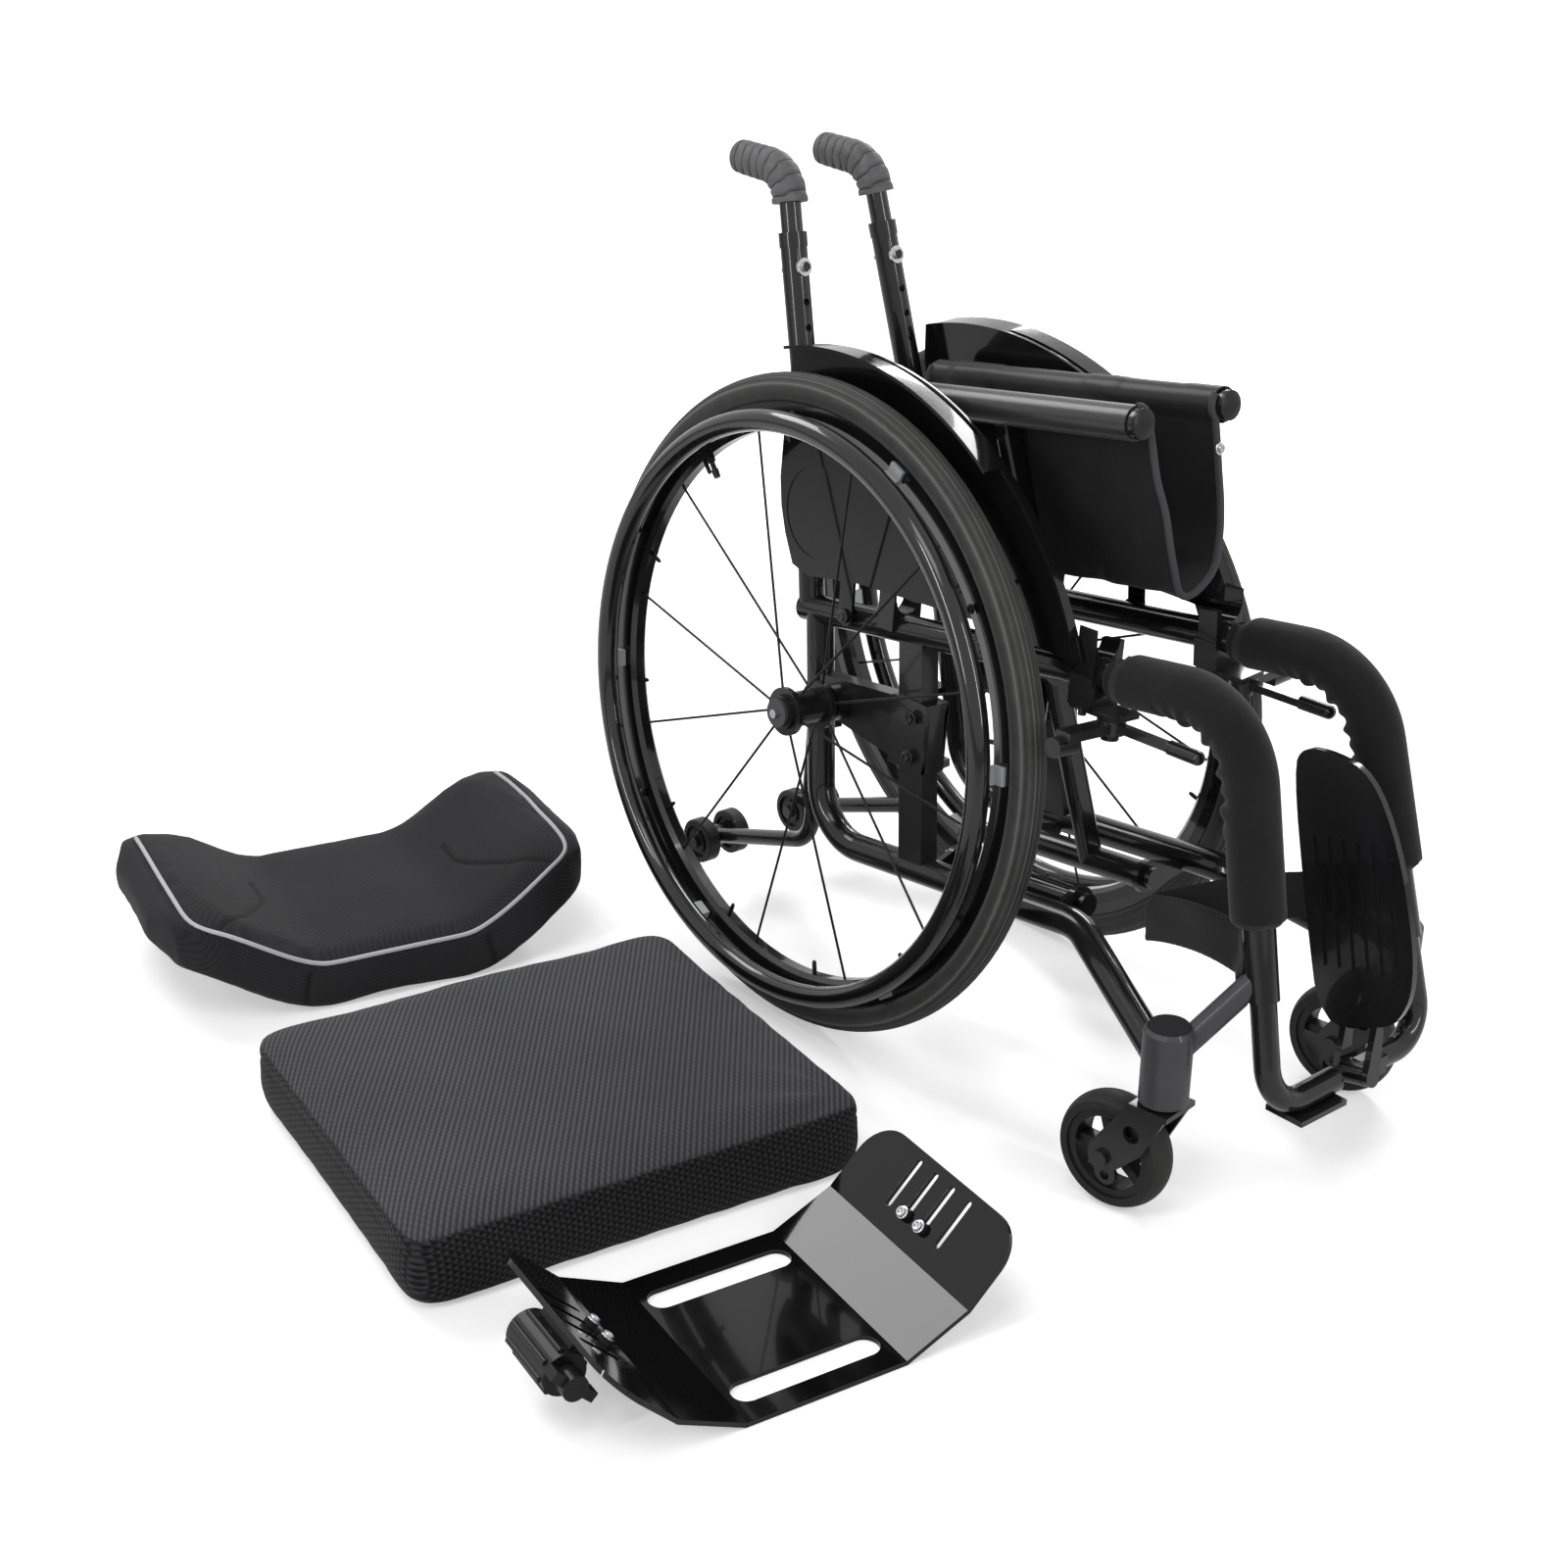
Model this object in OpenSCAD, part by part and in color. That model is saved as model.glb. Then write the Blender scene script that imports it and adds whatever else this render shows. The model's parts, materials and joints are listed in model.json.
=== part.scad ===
// Folding sports wheelchair, folded flat, with its seat cushion, back cushion and back shell beside it.
// Millimetres. Floor at z = 0, rear axle line at y = 0, front is -Y, the chair's left is +X.

/* [Rear wheels] */
// Outside diameter of a rear tyre
wheel_d = 600; // [560:2:640]
// Diameter of the tyre section
tyre_w = 30; // [24:1:34]
// Radial depth of the rim
rim_depth = 24; // [18:1:32]
// Number of spokes in a rear wheel
spoke_count = 12; // [8:4:24]
// Diameter of a spoke
spoke_d = 2.4; // [1.8:0.1:4]
// Distance of the wheel's middle plane from the side frame
wheel_u = 53.4; // [50:0.2:64]
// Diameter of the push rim's centreline
handrim_d = 521; // [490:1:530]
// Diameter of the push rim's tube
handrim_tube = 20; // [16:0.5:24]
// Distance of the push rim from the wheel's middle plane
handrim_out = 32.5; // [30:0.5:42]
// Number of tabs that hold a push rim
tab_count = 6; // [4:1:8]
// Diameter of the quick release axle
axle_d = 12.7; // [10:0.1:16]
// Travel of the release button
button_travel = 3; // [2:0.5:4]

/* [Side frames] */
// Inward lean of each side frame
lean = 4.2; // [3:0.1:5]
// Half width between the side frames at the floor when folded
side_x = 104.4; // [102:0.2:112]
// Diameter of the frame tubes
tube_d = 26; // [24:0.2:28]
// Wall of the frame tubes
tube_wall = 2.5; // [2:0.1:3]
// Height of the seat tube above the rear axle
seat_rise = 78.9; // [74:0.1:88]
// Slope of the seat, the brace and the lower rail
slope = 6; // [5:0.1:7]
// Forward reach of the front bend
front_y = 449; // [440:1:456]
// Forward lean of the front post
front_lean = 14; // [12:0.5:16]
// Radius of the front bend
front_r = 70; // [60:1:76]
// Height of the lower end of the front tube
front_foot_w = 200; // [190:1:215]
// Height of the lower rail at the axle line
rail_w = 156; // [150:1:162]
// Forward reach of the lower rail
rail_front_y = 310; // [300:1:316]
// Distance from the axle line to the axle post at axle height
post_y = 97; // [90:1:110]
// Diameter of the foam pad on the front bend
pad_d = 44; // [38:1:48]
// Height where the foam pad ends
pad_foot_w = 261; // [260:1:272]

/* [Front casters] */
// Diameter of a caster wheel
caster_d = 100; // [90:1:110]
// Width of a caster tyre
caster_w = 28; // [22:1:32]
// Trail of a caster
caster_trail = 40; // [34:1:46]
// Half width between the caster heads when folded
caster_x = 146; // [142:1:150]
// Forward reach of a caster head
caster_y = 461; // [455:1:468]
// Diameter of a caster head
head_d = 40; // [34:1:44]
// Height of a caster head
head_h = 62; // [56:1:70]
// Rest angle of both casters, toward the chair's right
caster_turn = 8; // [0:1:20]

/* [Cross brace] */
// Half width between the lower pivots when folded
pivot_x = 42.6; // [40:0.2:45]
// Height of the lower pivot line at the axle line
pivot_z = 149.4; // [147:0.2:152]
// Half width between the seat rails when folded
rail_x = 51; // [50:0.2:53]
// Height of the seat rails above the lower pivots when folded
brace_h = 423.5; // [415:0.5:430]
// Diameter of the lower pivot tubes
pivot_tube_d = 25; // [22:0.5:27]
// Diameter of the seat rails
seat_rail_d = 25; // [22:0.5:26]
// Width of an arm
arm_w = 25; // [20:0.5:27]
// Thickness of an arm
arm_t = 14; // [10:0.5:15]
// Diameter of the centre bolt
centre_bolt_d = 10; // [8:0.5:12]

/* [Back] */
// Diameter of a back cane
cane_d = 24; // [23:0.5:26]
// Diameter of a push handle tube
handle_d = 19.4; // [18:0.1:20]
// Height of the top of a back cane above the seat tube
cane_len = 325; // [305:1:360]
// Lean of the upper cane toward the back
cane_lean = 13.5; // [10:0.5:16]
// Length of a push grip
grip_len = 92; // [80:1:110]
// Diameter of a push grip
grip_d = 34; // [30:0.5:36]
// Diameter of the height holes in the canes
cane_hole_d = 6.5; // [5:0.1:8]

/* [Side guards] */
// Distance of a guard panel from the side frame
guard_u = 18; // [17.6:0.2:20]
// Thickness of a guard panel
guard_t = 3; // [2:0.2:4]
// Gap between the tyre and the guard's top
guard_gap = 19; // [14:1:26]
// Width of the guard's top flange
guard_lip = 27; // [18:1:30]

/* [Brakes] */
// Distance from the brake shoe forward to the lever's pivot
brake_ahead = 4.5; // [1:0.5:8]
// Swing of a brake lever until its shoe meets the tyre
brake_swing = 15.5; // [14:0.5:17]

/* [Anti tippers] */
// Diameter of an anti tip tube
anti_d = 16; // [14:0.5:18]
// Diameter of an anti tip wheel
anti_wheel_d = 46; // [40:1:50]
// Distance from the axle line to the anti tip wheels
anti_y = 230; // [215:1:260]
// Height of the anti tip wheels
anti_z = 70; // [60:1:85]

/* [Footrest] */
// Diameter of a hanger tube
hanger_d = 20.9; // [19:0.1:22]
// Height of the inner hanger tubes
hanger_z = 112; // [106:1:118]
// Length of the footplate from its hinge
plate_len = 262; // [258:1:268]
// Thickness of the footplate
plate_t = 6; // [5:0.5:7]
// Tilt of the footplate's hinge line
plate_tilt = 13; // [10:0.5:15]
// Distance from the hinge line to the plate's middle
plate_rise = 15; // [14.6:0.1:17]
// Height of the calf strap
strap_h = 46; // [34:1:60]
// Height of the calf strap's middle at the front tubes
strap_z = 227; // [222:1:234]

/* [Soft pieces] */
// Depth of the folded seat sling
sling_depth = 142; // [125:1:146]
// Thickness of the seat sling
sling_t = 2.6; // [2:0.1:4]
// Width of the seat cushion
cushion_w = 416; // [390:1:420]
// Depth of the seat cushion
cushion_d = 378; // [350:1:384]
// Height of the seat cushion
cushion_h = 72; // [55:1:90]
// Width of the back cushion
back_w = 436; // [415:1:445]
// Height of the back cushion
back_h = 279; // [250:1:290]
// Rise of the back cushion's wings
back_rise = 57; // [40:1:66]
// Thickness of the back cushion
back_t = 54; // [38:1:60]

/* [Back shell] */
// Width of the shell's middle panel
shell_mid = 136; // [120:1:160]
// Length of the shell along the back
shell_len = 190; // [170:1:200]
// Thickness of the shell
shell_t = 4; // [3:0.2:5]
// Width of a sloping panel
shell_slant = 60; // [50:1:70]
// Width of a wing
shell_wing = 70; // [66:1:76]

/* [Hidden] */
$fn = 64;
run_fit = 0.05;
near_gap = 0.3;
weld_gap = 0.05;
floor_gap = 0.4;
bend_lap = 0.6;
bend_thin = 0.06;
right = -1;
left = 1;
tyre_r = wheel_d / 2;
tyre_mid = tyre_r - tyre_w / 2;
wheel_z = tyre_mid * cos(lean) + tyre_w / 2;
wheel_w = (wheel_z - wheel_u * sin(lean)) / cos(lean);
rim_top = tyre_r - tyre_w * 0.84;
rim_low = rim_top - rim_depth;
groove_d = 1.6;
groove_out = 0.2;
hub_half = 27;
cap_t = 3.7;
cap_u = wheel_u + hub_half + near_gap + cap_t;
button_d = 8;
button_in = 14;
seat_tan = tan(slope);
seat_w = wheel_w + seat_rise;
front_w = seat_w + front_y * seat_tan;
foot_y = front_y + (front_w - front_foot_w) * tan(front_lean);
rest_angle = atan2(pivot_x + rail_x, brace_h);
arm_len = norm([pivot_x + rail_x, brace_h]);
low_len = arm_len * pivot_x / (pivot_x + rail_x);
top_len = arm_len - low_len;
tube_b = (seat_w * cos(lean) - pivot_z) * cos(slope);
rail_open_b = tube_b + (seat_rail_d + tube_d) / 2 + 2 * near_gap;
open_angle = acos(rail_open_b / arm_len);
rail_open_x = pivot_x + (top_len - low_len) * sin(open_angle);
arm_pitch = arm_t + 1;
arm_a = -199.5;
fold_range = open_angle - rest_angle;
seat_rail_a = -352;
seat_rail_len = 343;
head_low = caster_d + 12;
strut_up = 20;
strut_d = 20;
stem_d = 14;
post_slant = 0.117;
post_lean = atan(post_slant);
post_foot_y = 21;
post_top_y = post_foot_y + (seat_w - rail_w) * post_slant / (1 + seat_tan * post_slant);
seat_back_y = post_top_y + 19.7;
cane_foot_y = post_top_y + 11.7;
cane_mid = [cane_foot_y + 29, seat_w + 185];
cane_top_w = seat_w + cane_len;
cane_rise = cane_top_w - cane_mid.y;
handle_w = cane_top_w + 27;
grip_r = 34;
cane_r = 260;
base_r = 55;
hanger_r = 34;
anti_r = 34;
guard_r = tyre_r + guard_gap + guard_t;
brake_u = 4;
brake_clamp_y = -296;
brake_w = seat_w - brake_clamp_y * seat_tan;
lever_w = brake_w - 42.5;
shoe_w = lever_w - 4;
shoe_d = 17;
shoe_gap = 2.6;
shoe_y = -sqrt(pow(tyre_r, 2) - pow(shoe_w - wheel_w, 2)) - shoe_d / 2
    - (wheel_u - brake_u) * sin(brake_swing) - shoe_gap;
brake_y = brake_ahead - shoe_y;
pivot_pin_d = 9;
hinge_x = 4;
hinge_off = 4.74;
strap_len = 207.5;
strap_drop = 60;
cushion_at = [-454, -56, floor_gap];
cushion_turn = -8.3;
back_at = [-401, 375, floor_gap];
back_turn = -11.5;
back_flat = 0.3 * back_w / 2;
back_run = 0.61 * back_w / 2;
back_front_r = [96, 84];
back_rear_r = [60, 54];
shell_at = [-480, -373, floor_gap];
shell_turn = -8;
shell_fold = 25;
wing_fold = 45;
shell_r = 32;
slot_x = 0.59 * shell_wing;
slot_len = 38;
clamp_x = 51;
clamp_d = 34;
knob_stem_d = 8;
strap_y = front_y + (front_w - strap_z) * tan(front_lean);

// Unit vector along v
function unit(v) = v / norm(v);
// World point of a point in the leaning side frame
function lw(u, y, w) = [side_x + u * cos(lean) - w * sin(lean), y, u * sin(lean) + w * cos(lean)];
// Height of the seat tube's centre at y
function seat_at(y) = seat_w - y * seat_tan;
// Turn of a path at point i
function turn_at(p, i) = 180 - acos(unit(p[i - 1] - p[i]) * unit(p[i + 1] - p[i]));
// Length that a bend takes from each leg
function leg(p, r, i) = i == 0 || i == len(p) - 1 ? 0 : r * tan(turn_at(p, i) / 2);
// A path with both ends drawn out by e
function drawn(p, e) = [for (i = [0 : len(p) - 1])
    i == 0 ? p[0] + unit(p[0] - p[1]) * e :
    i == len(p) - 1 ? p[i] + unit(p[i] - p[i - 1]) * e : p[i]];
// Smooth step from 0 to 1
function ease(t) = t * t * (3 - 2 * t);

module sided(s) {
    if (s < 0) mirror([1, 0, 0]) children();
    else children();
}

module leaned() translate([side_x, 0, 0]) rotate([0, -lean, 0]) children();

module on_side(u, t) leaned() translate([u, 0, 0]) rotate([90, 0, 90]) linear_extrude(t) children();

module braced() translate([0, 0, pivot_z]) rotate([-slope, 0, 0]) children();

module at_wheel(u) leaned() translate([u, 0, wheel_w]) rotate([0, 90, 0]) children();

module bar(a, b, d) {
    v = b - a;
    translate(a) rotate([0, acos(v.z / norm(v)), atan2(v.y, v.x)]) cylinder(d = d, h = norm(v));
}

// Bend at corner c, a hair thinner than its legs and let a little way into both
module elbow(a, c, b, r, d) {
    go = unit(c - a);
    turn = 180 - acos(unit(a - c) * unit(b - c));
    n = unit(cross(go, unit(b - c)));
    start = c - go * r * tan(turn / 2);
    ex = -cross(n, go);
    o = start - r * ex;
    lap = bend_lap / r * 180 / PI;
    multmatrix([[ex.x, go.x, n.x, o.x], [ex.y, go.y, n.y, o.y], [ex.z, go.z, n.z, o.z], [0, 0, 0, 1]])
        rotate(-lap) rotate_extrude(angle = turn + 2 * lap) translate([r, 0]) circle(d = d - bend_thin);
}

module run(p, r, d) {
    for (i = [0 : len(p) - 2]) {
        go = unit(p[i + 1] - p[i]);
        bar(p[i] + go * leg(p, r, i), p[i + 1] - go * leg(p, r, i + 1), d);
    }
    for (i = [1 : 1 : len(p) - 2]) elbow(p[i - 1], p[i], p[i + 1], r, d);
}

// Closed skin over a list of rings with the same number of points
module skin(rings) {
    m = len(rings[0]);
    n = len(rings);
    pts = [for (k = rings, q = k) q];
    walls = [for (k = [0 : n - 2], i = [0 : m - 1], h = [0, 1])
        let (a = k * m + i, b = k * m + (i + 1) % m, c = a + m, d = b + m)
        h == 0 ? [a, c, b] : [b, c, d]];
    low = [for (i = [1 : m - 2]) [0, i, i + 1]];
    high = [for (i = [1 : m - 2]) [(n - 1) * m, (n - 1) * m + i + 1, (n - 1) * m + i]];
    polyhedron(points = pts, faces = concat(walls, low, high));
}

// Side frame paths
main_path = [lw(0, seat_back_y, seat_at(seat_back_y)), lw(0, -front_y, front_w), lw(0, -foot_y, front_foot_w)];
function rail_at(y) = rail_w - y * seat_tan;
head_joint = [caster_x, -caster_y, head_low + head_h * 0.45];
base_path = [lw(0, post_top_y, seat_at(post_top_y)),
    lw(0, post_foot_y, rail_at(post_foot_y)), lw(0, -rail_front_y, rail_at(-rail_front_y)), head_joint];
anti_u = -26;
anti_back = 66;
socket_low = 166;
socket_top = 264;
function on_anti(w) = lw(anti_u, anti_back, w);
anti_foot = on_anti(socket_low - 38);
anti_top = on_anti(socket_top + 8);
anti_end = [62, anti_y - 4, anti_z + 2];
anti_path = [anti_top, anti_foot, anti_end];

module main_solid(d = tube_d) run(main_path, front_r, d);

module base_solid(d = tube_d) run(base_path, base_r, d);

// Room for a seat rail when the chair is open
module open_rail() braced() translate([rail_open_x, seat_rail_a - 3, rail_open_b]) rotate([-90, 0, 0])
    cylinder(d = seat_rail_d + 2 * near_gap, h = seat_rail_len + 6);

saddle_y = [-298, -60];

// U shaped rest for a seat rail, on top of the seat tube
module saddle(y) {
    difference() {
        on_side(-16.5, 33) translate([y - 10, seat_at(y)]) square([20, 57]);
        main_solid(tube_d - 1);
        open_rail();
        braced() translate([rail_open_x - 60, -520, rail_open_b])
            cube([60 + seat_rail_d / 2 + 1.2, 700, 90]);
    }
}

// Bent tube of the seat side and the front post
module main_tube(s) color([0.04, 0.04, 0.045]) sided(s) difference() {
    union() {
        main_solid();
        for (y = saddle_y) saddle(y);
    }
    run(drawn(main_path, 2), front_r, tube_d - 2 * tube_wall);
}

module lug_plate(a, t) braced() translate([0, a, 0]) rotate([90, 0, 0]) translate([0, 0, -t])
    linear_extrude(t) {
        translate([pivot_x, 0]) circle(d = 30);
        polygon([[pivot_x, -15], [88, -8], [90, 0], [pivot_x, 15]]);
    }

// Rear post, lower rail and caster arm in one bent tube, with the brace pivots and the anti tip socket
module base_tube(s) color([0.04, 0.04, 0.045]) sided(s) difference() {
    union() {
        difference() {
            union() {
                base_solid();
                lug_plate(-269, 6);
                lug_plate(-117, 6);
                for (w = [socket_low + 6, socket_top - 12])
                    on_side(anti_u - 6, 30) translate([anti_back - 26, w]) square([24, 8]);
                bar(on_anti(socket_low), on_anti(socket_top), anti_d + 7);
            }
            run(drawn(base_path, 2), base_r, tube_d - 2 * tube_wall);
        }
        braced() translate([pivot_x, -276, 0]) rotate([-90, 0, 0]) cylinder(d = 12, h = 171);
        braced() translate([pivot_x, -278, 0]) rotate([-90, 0, 0]) cylinder(d = 20, h = 9.5);
        braced() translate([pivot_x, -112, 0]) rotate([-90, 0, 0]) cylinder(d = 20, h = 9);
    }
    main_solid(tube_d + 2 * weld_gap);
    translate([caster_x, -caster_y, 0]) cylinder(d = head_d + 2 * weld_gap, h = 400);
    bar(on_anti(socket_low - 46), on_anti(socket_top + 36), anti_d + 2 * run_fit);
}

// Oval post with the carrier that holds the axle sleeve
module axle_post(s) color([0.05, 0.05, 0.055]) sided(s) difference() {
    union() {
        on_side(-10, 20) polygon([for (q = [[-15, rail_at(-post_y - 15)], [15, rail_at(-post_y - 15)],
            [15, seat_at(-post_y + 10)], [-15, seat_at(-post_y + 10)]])
            [-post_y + q.x + (q.y - wheel_w) * tan(post_lean), q.y]]);
        on_side(-9, 18) polygon([[-post_y - 24, wheel_w - 34], [-post_y - 22, wheel_w + 30],
            [-post_y + 30, wheel_w + 26], [0, wheel_w + 20], [40, wheel_w + 17],
            [38, wheel_w - 17], [0, wheel_w - 20], [-post_y + 30, wheel_w - 30]]);
        on_side(-14, 28) translate([-post_y - 22, wheel_w - 34]) square([44, 64]);
        at_wheel(-16) cylinder(d = 34, h = 16 + wheel_u - hub_half - 2);
        for (h = [-20, 16]) on_side(-18, 36) translate([-post_y - 8, wheel_w + h]) circle(d = 10);
    }
    main_solid(tube_d + 2 * weld_gap);
    base_solid(tube_d + 2 * weld_gap);
    at_wheel(-60) cylinder(d = axle_d + 2 * run_fit, h = 140);
}

module strut(e = 0) bar([caster_x, -caster_y, head_low + head_h * 0.55],
    lw(0, -foot_y + strut_up * tan(front_lean), front_foot_w + strut_up), strut_d + 2 * e);

// Upright caster head with the strut to the front post
module caster_head(s) color([0.04, 0.04, 0.045]) sided(s) difference() {
    union() {
        translate([caster_x, -caster_y, head_low]) cylinder(d = head_d, h = head_h);
        translate([caster_x, -caster_y, head_low + head_h]) cylinder(d1 = head_d, d2 = head_d - 8, h = 5);
        strut();
    }
    run(drawn(main_path, 40), front_r, tube_d + 2 * weld_gap);
    translate([caster_x, -caster_y, head_low - 1]) cylinder(d = stem_d + 2 * run_fit, h = head_h - 8);
}

// Foam sleeve over the front bend
module frame_pad(s) color([0.03, 0.03, 0.03]) sided(s) {
    start = lw(0, -318, seat_at(-318));
    foot = lw(0, -foot_y + (pad_foot_w - front_foot_w) * tan(front_lean), pad_foot_w);
    path = [start, main_path[1], foot];
    difference() {
        union() {
            run(path, front_r, pad_d);
            run(drawn(path, 4), front_r, pad_d - 8);
        }
        run(drawn(path, 20), front_r, tube_d + 2 * near_gap);
        open_rail();
    }
}

guard_pin_y = [-185, -11];
recess_at = [37, wheel_w + 169];
recess_r = 42;
recess_t = 0.8;

// A guard panel with two tabs that reach down to the seat tube
module guard_outline() {
    intersection() {
        translate([0, wheel_w]) circle(r = guard_r, $fn = 128);
        polygon([[44, seat_w + 30], [66, seat_w + 36], [79, seat_w + 62], [87, seat_w + 86], [91, seat_w + 112],
            [90, seat_w + 150], [83, seat_w + 240], [74, seat_w + 330], [-400, seat_w + 330],
            [-400, seat_at(-400) + 30], [-290, seat_at(-290) + 10], [-240, seat_at(-240) + 18],
            [-177, seat_at(-177) + 27], [-27, seat_at(-27) + 37]]);
    }
    for (y = guard_pin_y) translate([y, seat_at(y) + 5]) {
        circle(d = 18);
        translate([-9, 0]) square([18, 40]);
    }
}

module guard_ring(a0, a1, e = 0) intersection() {
    translate([0, wheel_w]) difference() {
        circle(r = guard_r + e, $fn = 128);
        circle(r = guard_r - guard_t - e, $fn = 128);
    }
    translate([0, wheel_w]) polygon(concat([[0, 0]],
        [for (i = [0 : 8]) let (a = a0 + (a1 - a0) * i / 8) [-sin(a), cos(a)] * 2 * guard_r]));
}

// Side panel with a top flange over the tyre, a hand slot and a pressed recess
module side_guard(s) color([0.03, 0.03, 0.035]) sided(s) difference() {
    union() {
        on_side(guard_u, guard_t) guard_outline();
        on_side(guard_u, guard_lip) guard_ring(-12.5, 37);
        on_side(guard_u, 9) guard_ring(36, 64);
        for (y = guard_pin_y) on_side(tube_d / 2 - 2, guard_u - tube_d / 2 + 2.5)
            translate([y, seat_at(y) + 5]) circle(d = 14);
        for (y = guard_pin_y) on_side(guard_u + 1, guard_t + 1) translate([y, seat_at(y) + 5]) circle(d = 13);
    }
    main_solid(tube_d + 2 * weld_gap);
    on_side(guard_u + guard_t, 5) guard_ring(4, 30, 1);
    on_side(guard_u + guard_t - recess_t, 2 * recess_t) translate(recess_at) circle(r = recess_r);
}

cane_path = [lw(0, cane_foot_y, seat_at(cane_foot_y)), lw(0, cane_mid.x, cane_mid.y),
    lw(0, cane_mid.x + cane_rise * tan(cane_lean), cane_top_w)];
function on_cane(w) = lw(0, cane_mid.x + (w - cane_mid.y) * tan(cane_lean), w);
function by_cane(d, w) = lw(0, cane_mid.x + (w - cane_mid.y) * tan(cane_lean) + d * cos(cane_lean),
    w - d * sin(cane_lean));

// Back cane tube with height holes and a clamp bolt
module back_cane(s) color([0.04, 0.04, 0.045]) sided(s) difference() {
    union() {
        run(cane_path, cane_r, cane_d);
        bar(on_cane(cane_top_w - 12), on_cane(cane_top_w + 0.6), cane_d + 1.6);
        bar(by_cane(-cane_d / 2 + 1, cane_top_w - 30), by_cane(-cane_d / 2 - 1.6, cane_top_w - 30), 16);
        bar(by_cane(-cane_d / 2 + 1, cane_top_w - 30), by_cane(-cane_d / 2 - 4, cane_top_w - 30), 9);
        bar(by_cane(cane_d / 2 - 1, cane_top_w - 30), by_cane(cane_d / 2 + 5, cane_top_w - 30), 5);
    }
    run([cane_path[0], cane_path[1], on_cane(cane_top_w - 72)], cane_r, cane_d - 6);
    bar(on_cane(cane_top_w - 73), on_cane(cane_top_w + 8), handle_d + 2 * run_fit);
    main_solid(tube_d + 2 * weld_gap);
    for (h = [60, 82, 104])
        bar(by_cane(-30, cane_top_w - h), by_cane(30, cane_top_w - h), cane_hole_d);
}

grip_turn = on_cane(handle_w + 27);
grip_back = grip_turn + [0, grip_len - 28, 5];
handle_path = [on_cane(cane_top_w - 44), grip_turn, grip_back];

// Telescoping tube of a push handle
module push_handle(s) color([0.06, 0.06, 0.065]) sided(s) run(handle_path, grip_r, handle_d);

// Rubber grip over the bend of a push handle
module push_grip(s) color([0.02, 0.02, 0.02]) sided(s) {
    path = [on_cane(handle_w), grip_turn, grip_back];
    g = unit(grip_back - grip_turn);
    difference() {
        union() {
            run(path, grip_r, grip_d - 2);
            bar(grip_back - g * 20, grip_back + g * 5, grip_d - 8);
            bar(on_cane(handle_w - 1), on_cane(handle_w + 4), grip_d + 1);
            for (t = [0.42 : 0.13 : 1]) {
                q = grip_turn + (grip_back - grip_turn) * t;
                bar(q - g * 2.2, q + g * 2.2, grip_d);
            }
        }
        run(drawn(handle_path, near_gap), grip_r, handle_d + 2 * run_fit);
    }
}

// Quick release axle with its head
module axle_pin(s) color([0.45, 0.45, 0.47]) sided(s) difference() {
    union() {
        at_wheel(-20) cylinder(d = axle_d, h = 20 + cap_u - 1);
        at_wheel(cap_u - cap_t) cylinder(d = 26, h = cap_t);
    }
    at_wheel(cap_u - button_in) cylinder(d = button_d + 2 * run_fit, h = 40);
}

// Sprung button in the end of the axle
module release_button(s) color([0.6, 0.6, 0.62]) sided(s)
    at_wheel(cap_u - button_in + button_travel + 1) cylinder(d = button_d, h = button_in);

// Clamp block and plate of a wheel brake
module brake_mount(s) color([0.05, 0.05, 0.055]) sided(s) difference() {
    union() {
        on_side(-17, 34) translate([brake_clamp_y - 12, brake_w - 26]) square([24, 26]);
        on_side(-14, 28) translate([-brake_y - 13, brake_w - 30]) square([brake_y + brake_clamp_y + 25, 5]);
        leaned() translate([brake_u, -brake_y, brake_w - 44]) cylinder(d = pivot_pin_d, h = 18);
        leaned() translate([brake_u, -brake_y, brake_w - 48]) cylinder(d = pivot_pin_d + 6, h = 5);
        for (u = [-11, 11]) leaned() translate([u, brake_clamp_y, brake_w - 34]) cylinder(d = 7, h = 10);
    }
    main_solid(tube_d + 2 * weld_gap);
}

// Hand lever with the shoe that presses the tyre
module brake_lever(s) color([0.05, 0.05, 0.055]) sided(s) {
    difference() {
        union() {
            leaned() translate([brake_u, -brake_y, lever_w]) cylinder(d = 24, h = 12);
            leaned() translate([-1, -brake_y - 66, lever_w + 3]) cube([8, 66, 7]);
            leaned() translate([3, -brake_y - 62, lever_w + 6.5]) rotate([90, 0, 0]) cylinder(d = 12, h = 28);
            leaned() translate([3, -brake_y - 90, lever_w + 6.5]) sphere(d = 12);
            leaned() translate([brake_u, -brake_y - 8, lever_w + 2]) cube([wheel_u + 2, 16, 8]);
            leaned() translate([wheel_u - 12, shoe_y, shoe_w]) rotate([0, 90, 0])
                cylinder(d = shoe_d, h = 24);
        }
        leaned() translate([brake_u, -brake_y, lever_w - 20]) cylinder(d = pivot_pin_d + 2 * run_fit, h = 60);
    }
}

hanger_w = hanger_z / cos(lean);
hanger_y = -foot_y - (front_foot_w - hanger_w) * tan(front_lean);
hinge_y = hanger_y - hinge_off;
function hanger_path(x) = [lw(0, -foot_y + 42 * tan(front_lean), front_foot_w + 42),
    lw(0, hanger_y, hanger_w), [x, hanger_y + 1, hanger_z]];

module at_hinge() translate([hinge_x, hinge_y, hanger_z]) rotate([-plate_tilt, 0, 0]) children();

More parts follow.
